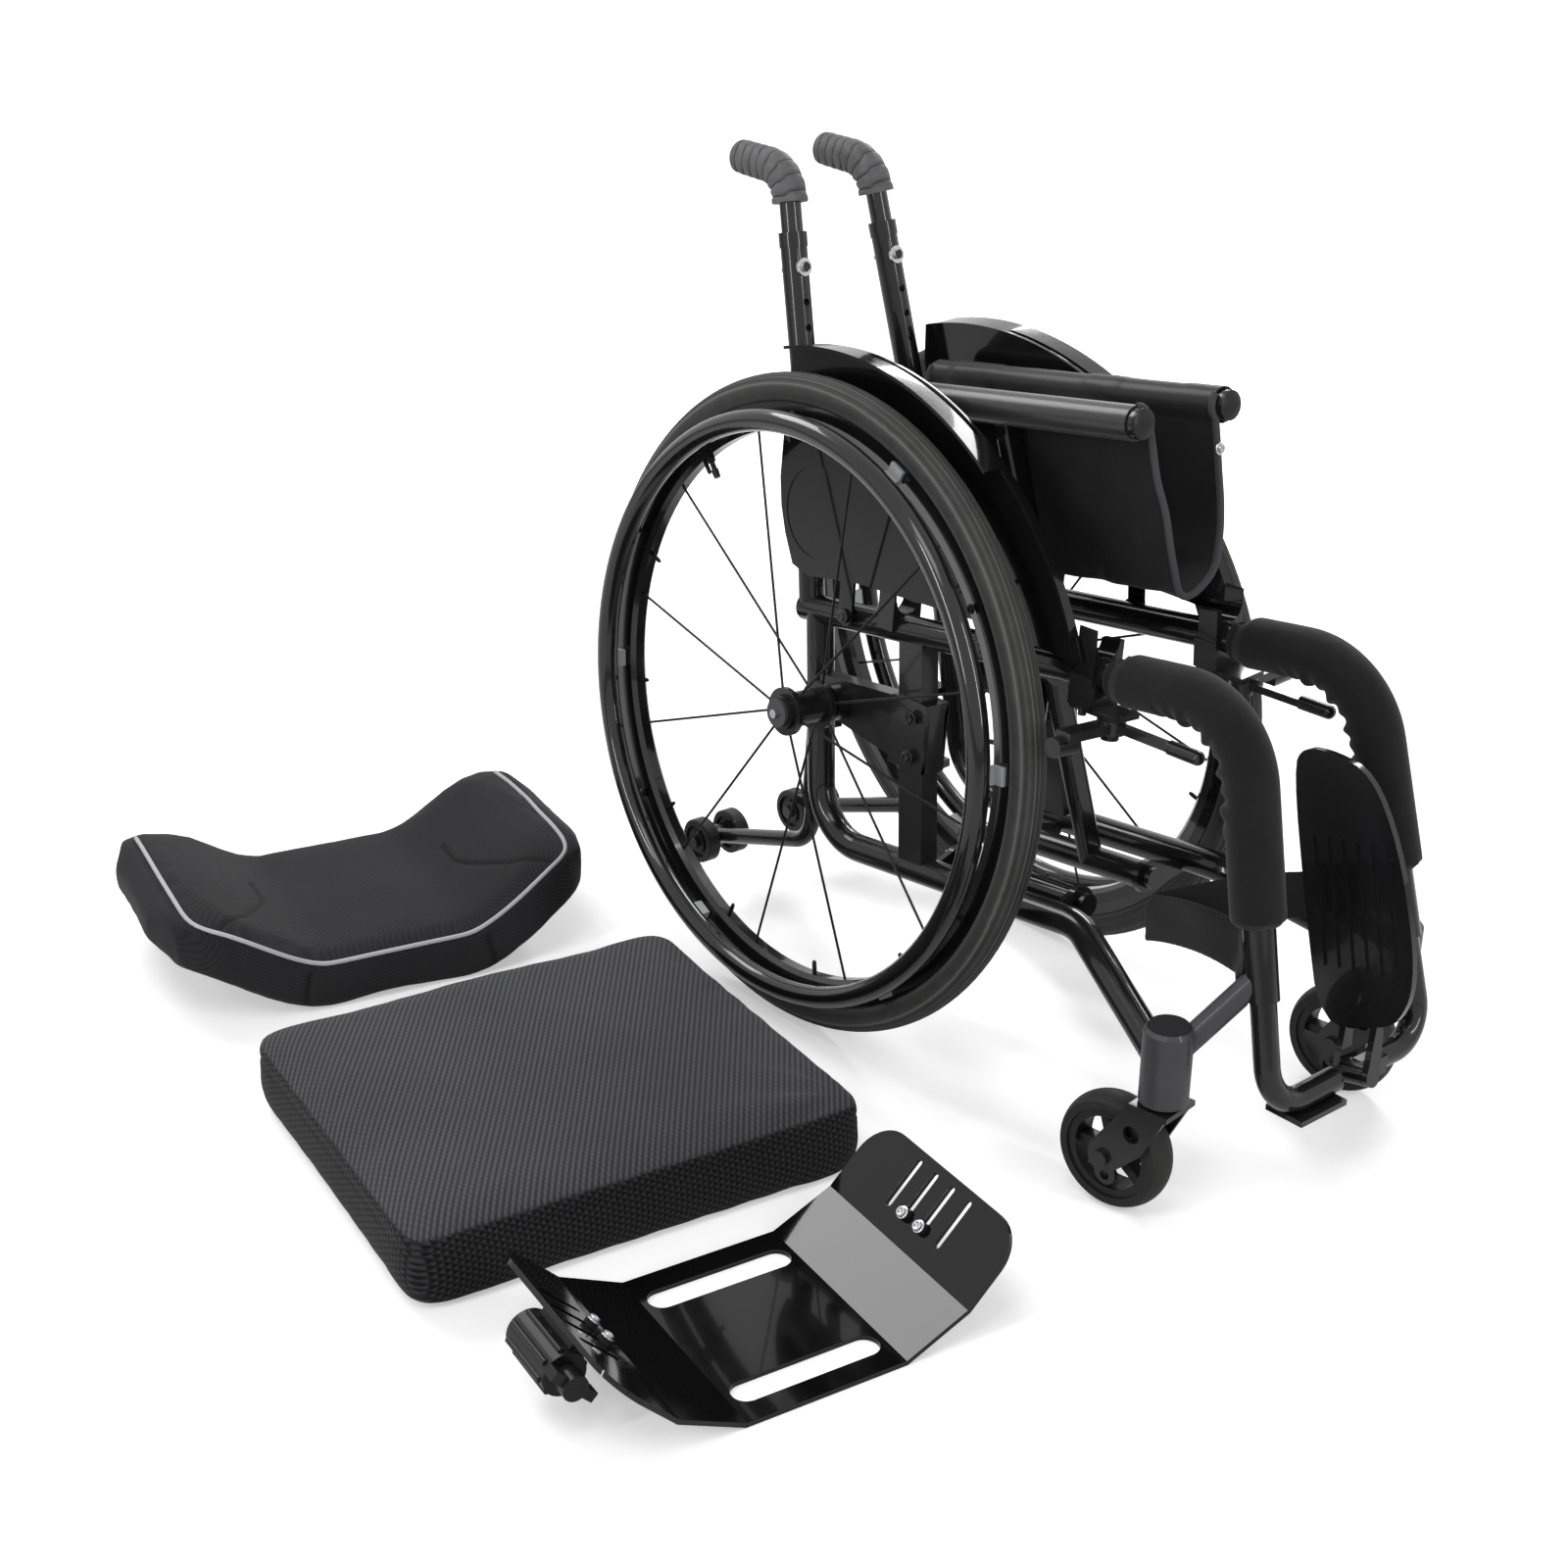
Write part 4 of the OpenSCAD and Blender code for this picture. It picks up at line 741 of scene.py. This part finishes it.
class CHAIR_OT_finishes(bpy.types.Operator):
    """Gives every tube, wheel and fitting of the solids its finish"""

    bl_idname = "chair.finishes"
    bl_label = "Finishes"

    # A clamp bolt: how far below the cane's top, its ends, the reach of their faces; the plug of a caster head
    bolt_drop, bolt_ends, bolt_reach = 0.030, (-0.0140, 0.0150), (0.0045, 0.0095)
    plug_at, plug_reach = (0.146, -0.461, 0.179), (-1, 0.0175)

    def execute(self, context):
        FINISH.update(finishes())
        for finish, bases in PLAIN.items():
            for base in bases:
                for name in nodes_of(base):
                    self.coat(name, finish)
        for name, side in SIDES:
            self.coat("tyre_" + name, "tyre_" + name)
            for spot in self.clamp_spots(side):
                self.pick(CAD["back_cane_" + name], "steel", spot, *self.bolt_reach)
            x, y, z = self.plug_at
            self.pick(CAD["caster_head_" + name], "plug", Vector((side * x, y, z)), *self.plug_reach)
        for base, (width, finish) in EASED.items():
            for name in nodes_of(base):
                eased(name, width, finish)
        return {"FINISHED"}

    def coat(self, name, finish):
        """Gives a solid its finish."""
        slots = CAD[name].data.materials
        slots.clear()
        slots.append(FINISH[finish])

    def clamp_spots(self, side):
        """Middles of the clamp bolt's two ends on a cane."""
        w = CANE_TOP - self.bolt_drop
        y = cane_at(w)
        c, s = cos(CANE_LEAN), sin(CANE_LEAN)
        return [lw(0, y + d * c, w - d * s, side) for d in self.bolt_ends]

    def pick(self, node, finish, spot, near, far):
        """Gives the faces of a solid between two distances from a place another finish."""
        if FINISH[finish].name not in node.data.materials:
            node.data.materials.append(FINISH[finish])
        last = len(node.data.materials) - 1
        for face in node.data.polygons:
            if near < (Vector(face.center) - spot).length < far:
                face.material_index = last


class CHAIR_OT_wheels(bpy.types.Operator):
    """Adds the spoke nipples, valves and rim screws of the rear wheels and shows the push rims' tabs"""

    bl_idname = "chair.wheels"
    bl_label = "Wheel fittings"

    # Radii about the axle, and distances along it
    rim_r, screw_r, tab_r = 0.2508, 0.2640, 0.2722
    screw_out, tab_out = 0.0150, 0.0225

    # Angles from the top in degrees: the first, the step, the number
    nipples, screws, valves = (80, 30, 12), (-65, 60, 6), (-38, 0, 1)

    def execute(self, context):
        screw = bolt_head("screw", 0.0028, 0.0028)
        nipple = tube("nipple", [(0, 0, z) for z in (0, 0.010, 0.0125)], [0.0021, 0.0021, 0.0014], 3)
        valve = tube("valve", [(0, 0, z) for z in (0, 0.004, 0.0041, 0.012, 0.0122, 0.020)],
                     [0.0042, 0.0042, 0.0026, 0.0026, 0.0036, 0.0032], 4)
        for name, side in SIDES:
            hub, out = lw(WHEEL_U, 0, WHEEL_W, side), outward(side)
            nips = [(hub + ray * (self.rim_r + 0.0005), -ray) for ray in self.rays(side, *self.nipples)]
            stems = [(hub + ray * self.rim_r, -ray) for ray in self.rays(side, *self.valves)]
            heads = [(hub + ray * self.screw_r + out * self.screw_out, out)
                     for ray in self.rays(side, *self.screws)]
            for model, piece, places, finish, slot in (
                    (nipple, "spoke_nipples_", nips, "spoke", "steel_black"),
                    (valve, "tyre_valve_", stems, "plastic", "steel"),
                    (screw, "rim_screws_", heads, "cast", "steel")):
                settle(dress(copies(model, piece + name, places), finish), "wheel_" + name)
            self.tabs(CAD["handrim_" + name], hub, out)
        for model in (screw, nipple, valve):
            drop(model)
        return {"FINISHED"}

    def rays(self, side, first, step, count):
        """Directions from a wheel's middle to places round its rim."""
        up, fore = Vector((-side * sin(LEAN), 0, cos(LEAN))), Vector((0, -1, 0))
        turns = [radians(first + step * k) for k in range(count)]
        return [up * cos(turn) + fore * sin(turn) for turn in turns]

    def tabs(self, node, hub, out):
        """Shows the push rim's tabs in pale plastic."""
        node.data.materials.append(FINISH["tab"])
        for face in node.data.polygons:
            arm = Vector(face.center) - hub
            depth = arm.dot(out)
            if depth < self.tab_out or (arm - out * depth).length > self.tab_r:
                face.material_index = 1


class CHAIR_OT_pads(bpy.types.Operator):
    """Makes the foam pads over the front bends, puckered inside the bend"""

    bl_idname = "chair.pads"
    bl_label = "Front pads"

    # The bend's middle, its end in degrees and its inner arc
    bend_at, bend_end, arc = (-0.3958, 0.3462), 82, 0.055

    def execute(self, context):
        sizes = context.scene.chair_sizes
        for name, side in SIDES:
            pad = puffed("frame_pad_" + name, "front_pad_" + name, 0.0035, 2.0, sizes.pad_swell)
            co = points(pad)
            x, y, z = co[:, 0] * side - SIDE_X, co[:, 1], co[:, 2]
            u, w = x * cos(LEAN) + z * sin(LEAN), z * cos(LEAN) - x * sin(LEAN)
            arm = np.stack([y - self.bend_at[0], w - self.bend_at[1]], 1)
            far = np.linalg.norm(arm, axis=1)
            angle = np.degrees(np.arctan2(-arm[:, 0], arm[:, 1]))
            past = angle - self.bend_end
            run = np.clip(angle, 0, self.bend_end) * radians(1) * self.arc
            run += np.maximum(0, past) * 0.0009 + np.minimum(0, angle) * 0.0009
            leg = np.abs(arm[:, 0] * sin(FRONT_LEAN) - arm[:, 1] * cos(FRONT_LEAN))
            inner = ease((FRONT_R + 0.004 - far) / 0.014) * ease((angle + 30) / 20)
            inner *= ease((0.095 - ease(past / 8) * leg) / 0.03)
            ripple = np.sin(run * 440) * 0.6 + np.sin(run * 205 + 1.1) * 0.5
            lift = sizes.pucker * ripple * inner * ease((0.024 - np.abs(u)) / 0.012)
            seam = np.exp(-(u / 0.0016) ** 2) * ease((FRONT_R - far) / 0.010)
            tail = y.max()
            hem = np.exp(-((tail - y - 0.012) / 0.0022) ** 2)
            lift -= 0.0012 * seam * ease((angle + 60) / 30) + 0.0014 * hem
            lift -= 0.0024 * ease((y - tail + 0.024) / 0.010)
            co[:, 1] = np.minimum(y, tail - 0.004)
            move_points(pad, co + normals(pad) * lift[:, None])
            dress(pad, "sleeve", 60)
            settle(pad, name + "_frame", "frame_pad_" + name)
        return {"FINISHED"}


class CHAIR_OT_sling(bpy.types.Operator):
    """Hangs the seat sling in a fold between the rails, with its bound edges"""

    bl_idname = "chair.sling"
    bl_label = "Seat sling"

    # Points along the seat, in half the fold and round a rail, and the thickness
    rows, half, turns, thick = 90, 44, 14, 0.0016

    # Front edge and length along the rails, and where the arms pinch it
    front, deep, pinched = -0.346, 0.334, -0.192

    # Loops round a rail by middle and reach, and creases by height and steps
    loops = ((0.05, 0.07), (0.37, 0.07), (0.84, 0.09))
    creases = ((0.0016, 31, 10), (0.0012, 57, -18), (0.0008, 13, 34))

    # The cloth across the seat, from the rails' height down: hanging freely, and drawn in between the arms
    loose = ((-0.0369, 0), (-0.0280, -0.050), (-0.0125, -0.104), (-0.0010, -0.146), (0.0066, -0.152),
             (0.0200, -0.149), (0.0390, -0.134), (0.0478, -0.105), (0.0470, -0.070))
    drawn = ((-0.0369, 0), (-0.0250, -0.050), (-0.0135, -0.098), (-0.0055, -0.132), (-0.0014, -0.152),
             (0.0016, -0.152), (0.0055, -0.130), (0.0130, -0.098), (0.0235, -0.050))

    def about(self, x, turn, radius):
        """Point round a rail at x."""
        return x + cos(turn) * radius, sin(turn) * radius

    def section(self, f):
        """Points of the cloth across the seat, at a share f of its length."""
        a = self.front + self.deep * f
        pinch = 1 - float(ease((abs(a - self.pinched) - 0.016) / 0.055))
        loop = sum(float(ease((reach - abs(f - mid)) / 0.02)) for mid, reach in self.loops)
        wrap = RAIL_R + 0.0010
        over = wrap + 0.0008 * loop
        leave = radians(180 + 45 * (1 - pinch))
        knots = np.array(self.loose) * (1 - pinch) + np.array(self.drawn) * pinch
        knots = np.vstack([knots, self.about(RAIL_X, leave, wrap)])
        run = np.concatenate([[0], np.cumsum(np.linalg.norm(np.diff(knots, axis=0), axis=1))])
        t = np.linspace(0, 1, 2 * self.half + 1)
        hang = np.stack([np.interp(t * run[-1], run, knots[:, k]) for k in (0, 1)], 1)
        for _ in range(8):
            hang[1:-1] = (hang[:-2] + hang[1:-1] * 2 + hang[2:]) / 4
        crease = sum(height * np.sin(f * along + t * across) for height, along, across in self.creases)
        hang[:, 0] += crease * np.sin(t * pi) * (1 - pinch)
        line = [self.about(-RAIL_X, radians(300 - 300 * k / self.turns), wrap) for k in range(self.turns)]
        line += [tuple(p) for p in hang]
        line += [self.about(RAIL_X, leave - radians(318 * (k + 1) / self.turns), over)
                 for k in range(self.turns)]
        return [braced(x, a, BRACE_H + b) for x, b in line]

    def execute(self, context):
        grid = [self.section(k / self.rows) for k in range(self.rows + 1)]
        across = len(grid[0])
        bpy.ops.mesh.primitive_grid_add(x_subdivisions=across - 1, y_subdivisions=self.rows, size=1)
        sling = context.object
        sling.name = "sling_cloth"
        move_points(sling, [p for row in grid for p in row])
        tight = np.zeros((len(grid), across))
        tight[:, :self.turns], tight[:, -self.turns:] = 1.0, 0.35
        carry(sling, "tight", tight.ravel())
        edited(sling, bpy.ops.mesh.normals_make_consistent, inside=False)
        modified(sling, "SOLIDIFY", thickness=self.thick, offset=0.0)
        dress(sling, "sling", 70)
        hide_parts("seat_sling")
        self.follow(sling)
        for end, row in (("front", grid[0]), ("rear", grid[-1])):
            edge = tube("sling_binding_" + end, row[10:-10], 0.0030, 3)
            dress(edge, "binding", 60)
            self.follow(edge)
        snap = bolt_head("snap", 0.0034, 0.0030)
        ahead = (braced(0, -1, 0) - braced(0, 0, 0)).normalized()
        button = copies(snap, "sling_snap", [(braced(0.0432, -0.3488, BRACE_H - 0.034), ahead)])
        settle(dress(button, "steel"), "arm_a")
        drop(snap)
        return {"FINISHED"}

    def follow(self, piece):
        """Bakes a piece of cloth's place into its points."""
        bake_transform(piece)


class CHAIR_OT_strap(bpy.types.Operator):
    """Makes the two halves of the hanging calf strap"""

    bl_idname = "chair.strap"
    bl_label = "Calf strap"

    def execute(self, context):
        for name, _ in SIDES:
            strap = copy_of("calf_strap_" + name, "strap_band_" + name)
            finer(strap, 2)
            co = points(strap)
            y, z = co[:, 1], co[:, 2]
            co[:, 1] += np.sin(z * 190 + y * 40) * 0.0009 + np.sin(z * 75 - y * 25) * 0.0012
            move_points(strap, co)
            dress(strap, "strap", 70)
            settle(strap, "strap_" + name, "calf_strap_" + name)
        return {"FINISHED"}


class CHAIR_OT_seat_cushion(bpy.types.Operator):
    """Stuffs the seat cushion and draws the creases at its corner"""

    bl_idname = "chair.seat_cushion"
    bl_label = "Seat cushion"

    # Corner that the creases start from, and height of the seam
    corner_at, seam_z = (0.19, -0.17), 0.052

    def execute(self, context):
        sizes = context.scene.chair_sizes
        seat = puffed("seat_cushion", "seat_cover", 0.006, 4.0, sizes.swell)
        co = points(seat)
        c, s = cos(CUSHION_TURN), sin(CUSHION_TURN)
        dx, dy = co[:, 0] - CUSHION_AT[0], co[:, 1] - CUSHION_AT[1]
        x, y = dx * c + dy * s, dy * c - dx * s
        n = normals(seat)
        top = ease((n[:, 2] - 0.42) / 0.25) * ease((co[:, 2] - 0.045) / 0.010)
        cx, cy = x - self.corner_at[0], y - self.corner_at[1]
        corner = np.hypot(cx, cy)
        around = np.degrees(np.arctan2(cy, cx))
        fan = ease((0.17 - corner) / 0.13) * ease((corner - 0.012) / 0.03)
        crease = np.sin(np.radians(around * 9)) * fan * top * sizes.crease
        edge = np.exp(-((co[:, 2] - self.seam_z) / 0.0028) ** 2) * (1 - ease((n[:, 2] - 0.3) / 0.4))
        sag = 0.0012 * np.sin(x * 26 + y * 9) * top
        lift = crease + sag - 0.0012 * edge
        lift[co[:, 2] < 0.012] = 0
        co = co + n * lift[:, None]
        co[:, 2] = np.maximum(co[:, 2], FLOOR_GAP)
        move_points(seat, co)
        # The top mask also makes the cover's top lighter in colour than its sides: partly painted light from
        # above.
        carry(seat, "top", top)
        dress(seat, "seat", 70)
        settle(seat, "loose_seat", "seat_cushion")
        return {"FINISHED"}


class CHAIR_OT_back_cushion(bpy.types.Operator):
    """Stuffs the back cushion and sews on its pale piping and its seams"""

    bl_idname = "chair.back_cushion"
    bl_label = "Back cushion"

    # Share of the half width where the piping turns
    piped = 0.88

    # Seam over a wing, and a height to drop it from
    wing_seam = np.array(((0.099, 0.023), (0.098, -0.013), (0.105, -0.034), (0.117, -0.058), (0.131, -0.084),
                          (0.146, -0.100), (0.163, -0.113)))
    above = 0.2

    def edge(self, f, deep=-0.95, rise=0.80):
        """Point over the top at a share f of the width and a share of the depth, from front to back."""
        width, long, thick = BACK_SIZE
        half, far = width / 2, abs(f)
        u = min(1.0, max(0.0, (far * half - BACK_FLAT) / BACK_RUN))
        turn = copysign(atan(BACK_RISE * 6 * u * (1 - u) / BACK_RUN), f)
        end = sqrt(max(0.03, 1 - max(0.0, (far - 0.86) / 0.14) ** 2.2))
        over = thick * (0.35 + 0.65 * end) / 2 * rise
        front = self.corner(BACK_FRONT_R, far * half) + 0.005 * (1 - end) - long / 2
        rear = long / 2 - self.corner(BACK_REAR_R, far * half) - 0.005 * (1 - end)
        y = (front + rear) / 2 + (rear - front) / 2 * deep
        z = BACK_RISE * u * u * (3 - 2 * u) + thick / 2 + cos(turn) * over + FLOOR_GAP
        return on_floor(BACK_AT, BACK_TURN, f * half - sin(turn) * over, y, z)

    def corner(self, radii, x):
        """How far a rounded corner lies inside the straight edge, at a distance x from the middle."""
        u = max(0.0, (x - BACK_SIZE[0] / 2 + radii[0]) / radii[0])
        return radii[1] * (1 - sqrt(max(0.0, 1 - u * u)))

    def execute(self, context):
        sizes = context.scene.chair_sizes
        back = puffed("back_cushion", "back_cover", 0.005, 3.0, sizes.swell * 0.6)
        co = points(back)
        co[:, 2] = np.maximum(co[:, 2], FLOOR_GAP)
        move_points(back, co)
        mesh = back.data
        tree = BVHTree.FromPolygons([v.co for v in mesh.vertices], [p.vertices for p in mesh.polygons])

        def laid(place, lift):
            spot, face, _, _ = tree.find_nearest(place)
            return spot + face * lift

        ends = [self.edge(-self.piped, 0.80 - 1.7 * k / 24) for k in range(24)]
        ends += [self.edge(self.piped * (k / 40 - 1)) for k in range(81)]
        ends += [self.edge(self.piped, -0.90 + 1.7 * k / 24) for k in range(1, 25)]
        line = [laid(p, sizes.piping * 0.5) for p in ends]
        for _ in range(6):
            line = [line[0]] + [(p + q * 2 + r) / 4 for p, q, r in zip(line, line[1:], line[2:])] + [line[-1]]
        piping = tube("back_piping", line, sizes.piping, 3)
        settle(dress(piping, "piping", 60), "loose_back")
        lines = []
        knots = range(len(self.wing_seam))
        t = np.linspace(0, knots[-1], 60)
        across, along = (np.interp(t, knots, self.wing_seam[:, k]) for k in (0, 1))
        for side in (-1, 1):
            for x, y in zip(across, along):
                lines.append(self.below(tree, on_floor(BACK_AT, BACK_TURN, side * x, y, self.above)))
            for k in np.linspace(0, 1, 14):
                x, z = side * (0.088 + 0.008 * k), 0.044 - 0.038 * k
                lines.append(laid(on_floor(BACK_AT, BACK_TURN, x, -0.150, z), 0))
        co, n, lines = points(back), normals(back), np.array(lines)
        near = np.concatenate([np.min(np.linalg.norm(part[:, None] - lines[None], axis=2), axis=1)
                               for part in np.array_split(co, 40)])
        seam = np.exp(-(near / 0.0030) ** 2)
        move_points(back, co - n * (0.0016 * seam)[:, None])
        # The seam mask also darkens the cover's colour along the seams: painted shade in their grooves.
        carry(back, "seam", seam)
        dress(back, "back", 70)
        settle(back, "loose_back", "back_cushion")
        return {"FINISHED"}

    def below(self, tree, place):
        """Where a line straight down from a place meets the cushion."""
        spot = tree.ray_cast(place, Vector((0, 0, -1)))[0]
        return spot if spot else tree.find_nearest(place)[0]


class CHAIR_OT_grips(bpy.types.Operator):
    """Makes the scalloped rubber grips over the push handles"""

    bl_idname = "chair.grips"
    bl_label = "Push grips"

    # Heights of the lower end and the corner, the way on to the end, the bend
    low, high = CANE_TOP + 0.026, CANE_TOP + 0.054
    reach, bend_r = (0, 0.064 + 0.005, 0.0054), 0.034

    # Shares of the radius that round the end, and the number of scallops
    rounding, scallops = (0.995, 0.97, 0.92, 0.83, 0.66, 0.36), 8.5

    def execute(self, context):
        for name, side in SIDES:
            start, corner = (lw(0, cane_at(w), w, side) for w in (self.low, self.high))
            path = self.bent(start, corner, corner + Vector(self.reach), self.bend_r)
            lengths = np.concatenate([[0], np.cumsum([(q - p).length for p, q in zip(path, path[1:])])])
            t = lengths / lengths[-1]
            radii = 0.0160 - 0.0012 * t + 0.0006 * np.exp(-((t - 0.02) / 0.03) ** 2)
            radii[-len(self.rounding):] *= np.array(self.rounding)
            grip = tube("grip_" + name, path, list(radii), 9)
            finer(grip)
            co, spine = points(grip), np.array(path)
            near = np.argmin(np.linalg.norm(co[:, None] - spine[None], axis=2), axis=1)
            arm = co - spine[near]
            arm /= np.maximum(np.linalg.norm(arm, axis=1, keepdims=True), 1e-6)
            under = ease((-arm[:, 2] + arm[:, 1] * 0.3 - 0.2) / 0.6)
            flank = ease((np.abs(arm[:, 0]) - 0.55) / 0.3)
            saw = (t[near] * self.scallops + 0.22 * flank + 0.3) % 1.0
            groove = np.exp(-(np.minimum(saw, 1 - saw) / 0.11) ** 2)
            full = ease(t[near] / 0.06) * ease((0.99 - t[near]) / 0.05)
            lift = (0.0011 * (saw - 0.5) + 0.0010 * under * np.sin(saw * pi)) * full
            lift -= (0.0011 + 0.0009 * under) * groove * full
            move_points(grip, co + arm * lift[:, None])
            # The groove mask also darkens the grip's colour in its grooves: painted shade.
            carry(grip, "groove", groove * full)
            dress(grip, "grip", 45)
            settle(grip, "handle_" + name, "push_grip_" + name)
        return {"FINISHED"}

    def bent(self, start, corner, end, radius, count=120):
        """Evenly spaced points along two legs and the round bend between them."""
        a, b = (start - corner).normalized(), (end - corner).normalized()
        half = acos(max(-1, min(1, a.dot(b)))) / 2
        leg = radius / tan(half)
        mid = corner + (a + b).normalized() * radius / sin(half)
        p, q = corner + a * leg, corner + b * leg
        turn = pi - 2 * half
        raw = [start + (p - start) * k / 20 for k in range(20)]
        axis = (p - mid).cross(q - mid).normalized()
        raw += [mid + Matrix.Rotation(turn * k / 40, 3, axis) @ (p - mid) for k in range(40)]
        raw += [q + (end - q) * k / 40 for k in range(41)]
        raw = np.array(raw)
        d = np.concatenate([[0], np.cumsum(np.linalg.norm(np.diff(raw, axis=0), axis=1))])
        at = np.linspace(0, d[-1], count)
        return [Vector([np.interp(v, d, raw[:, k]) for k in range(3)]) for v in at]


class CHAIR_OT_shell(bpy.types.Operator):
    """Eases the edges of the gloss back shell and adds its bright bolts"""

    bl_idname = "chair.shell"
    bl_label = "Back shell"

    # Half the flat middle, the folded part, their angles, the bolts on the wing
    flat, folded = 0.068, 0.060
    fold, wing = radians(25), radians(45)
    bolt_along, bolt_above, bolt_ys = 0.0233, 0.0082, (-0.011, 0.011)

    def execute(self, context):
        eased("back_shell", 0.0012, "gloss", 16)
        head = bolt_head("shell_bolt", 0.0042, 0.0036, washer=1.3)
        c, s = cos(self.wing), sin(self.wing)
        x = self.flat + self.folded * cos(self.fold) + self.bolt_along * c - self.bolt_above * s
        z = self.folded * sin(self.fold) + self.bolt_along * s + self.bolt_above * c + FLOOR_GAP
        spots = [(on_floor(SHELL_AT, SHELL_TURN, side * x, y, z), on_floor((0, 0), SHELL_TURN, -side * s, 0, c))
                 for side in (-1, 1) for y in self.bolt_ys]
        settle(dress(copies(head, "shell_bolts", spots), "steel"), "loose_shell")
        drop(head)
        return {"FINISHED"}


class CHAIR_OT_fittings(bpy.types.Operator):
    """Adds the screws of the guards and posts and the caps of the seat rails"""

    bl_idname = "chair.fittings"
    bl_label = "Fittings"

    # Screws of the guard and the post: distance out and places
    guard_out, guard_ys = 0.0230, (-0.185, -0.011)
    post_out, post_y, post_hs = 0.0180, -0.105, (-0.020, 0.016)

    # Rail ends with the way that they face, and the outline of a cap
    rail_ends = ((-0.352, -1), (-0.009, 1))
    cap_steps = (-0.006, 0, 0.0004, 0.0018, 0.0026, 0.0030)
    cap_radii = (0.0093, 0.0093, 0.0124, 0.0124, 0.0112, 0.004)

    def execute(self, context):
        head = bolt_head("fitting", 0.0042, 0.0040)
        for name, side in SIDES:
            out = outward(side)
            on_guard = [(lw(self.guard_out, y, seat_at(y) + 0.005, side), out) for y in self.guard_ys]
            on_post = [(lw(self.post_out, self.post_y, WHEEL_W + h, side), out) for h in self.post_hs]
            for kind, spots, finish in (("guard", on_guard, "grey"), ("post", on_post, "cast")):
                screws = dress(copies(head, kind + "_screws_" + name, spots), finish)
                settle(screws, name + "_frame")
        for arm, side in (("arm_a", 1), ("arm_b", -1)):
            ends = []
            for a, way in self.rail_ends:
                at = braced(side * RAIL_X, a, BRACE_H)
                axis = (braced(0, way, 0) - braced(0, 0, 0)).normalized()
                ends.append(tube("cap", [at + axis * d for d in self.cap_steps], self.cap_radii, 6))
            settle(dress(joined(ends, "rail_caps_" + arm), "plastic", 35), arm)
        drop(head)
        return {"FINISHED"}


class CHAIR_PT_panel(bpy.types.Panel):
    """Lists the pieces of the wheelchair"""

    bl_label = "Wheelchair"
    bl_idname = "CHAIR_PT_panel"
    bl_space_type = "VIEW_3D"
    bl_region_type = "UI"
    bl_category = "Wheelchair"

    def draw(self, context):
        for group in (context.scene.chair_sizes, context.scene.chair_tones):
            for key in group.bl_rna.properties.keys():
                if key not in ("name", "rna_type"):
                    self.layout.prop(group, key)
        for step in STEPS:
            self.layout.operator(step.bl_idname)


STEPS = (CHAIR_OT_stage, CHAIR_OT_finishes, CHAIR_OT_wheels, CHAIR_OT_pads, CHAIR_OT_sling, CHAIR_OT_strap,
         CHAIR_OT_seat_cushion, CHAIR_OT_back_cushion, CHAIR_OT_grips, CHAIR_OT_shell, CHAIR_OT_fittings)
CLASSES = (ChairSizes, ChairTones, *STEPS, CHAIR_PT_panel)


def register():
    for cls in CLASSES:
        bpy.utils.register_class(cls)
    bpy.types.Scene.chair_sizes = PointerProperty(type=ChairSizes)
    bpy.types.Scene.chair_tones = PointerProperty(type=ChairTones)


def unregister():
    del bpy.types.Scene.chair_tones
    del bpy.types.Scene.chair_sizes
    for cls in reversed(CLASSES):
        bpy.utils.unregister_class(cls)


def main():
    register()
    for step in STEPS:
        group, action = step.bl_idname.split(".")
        getattr(getattr(bpy.ops, group), action)()


if __name__ == "__main__":
    main()
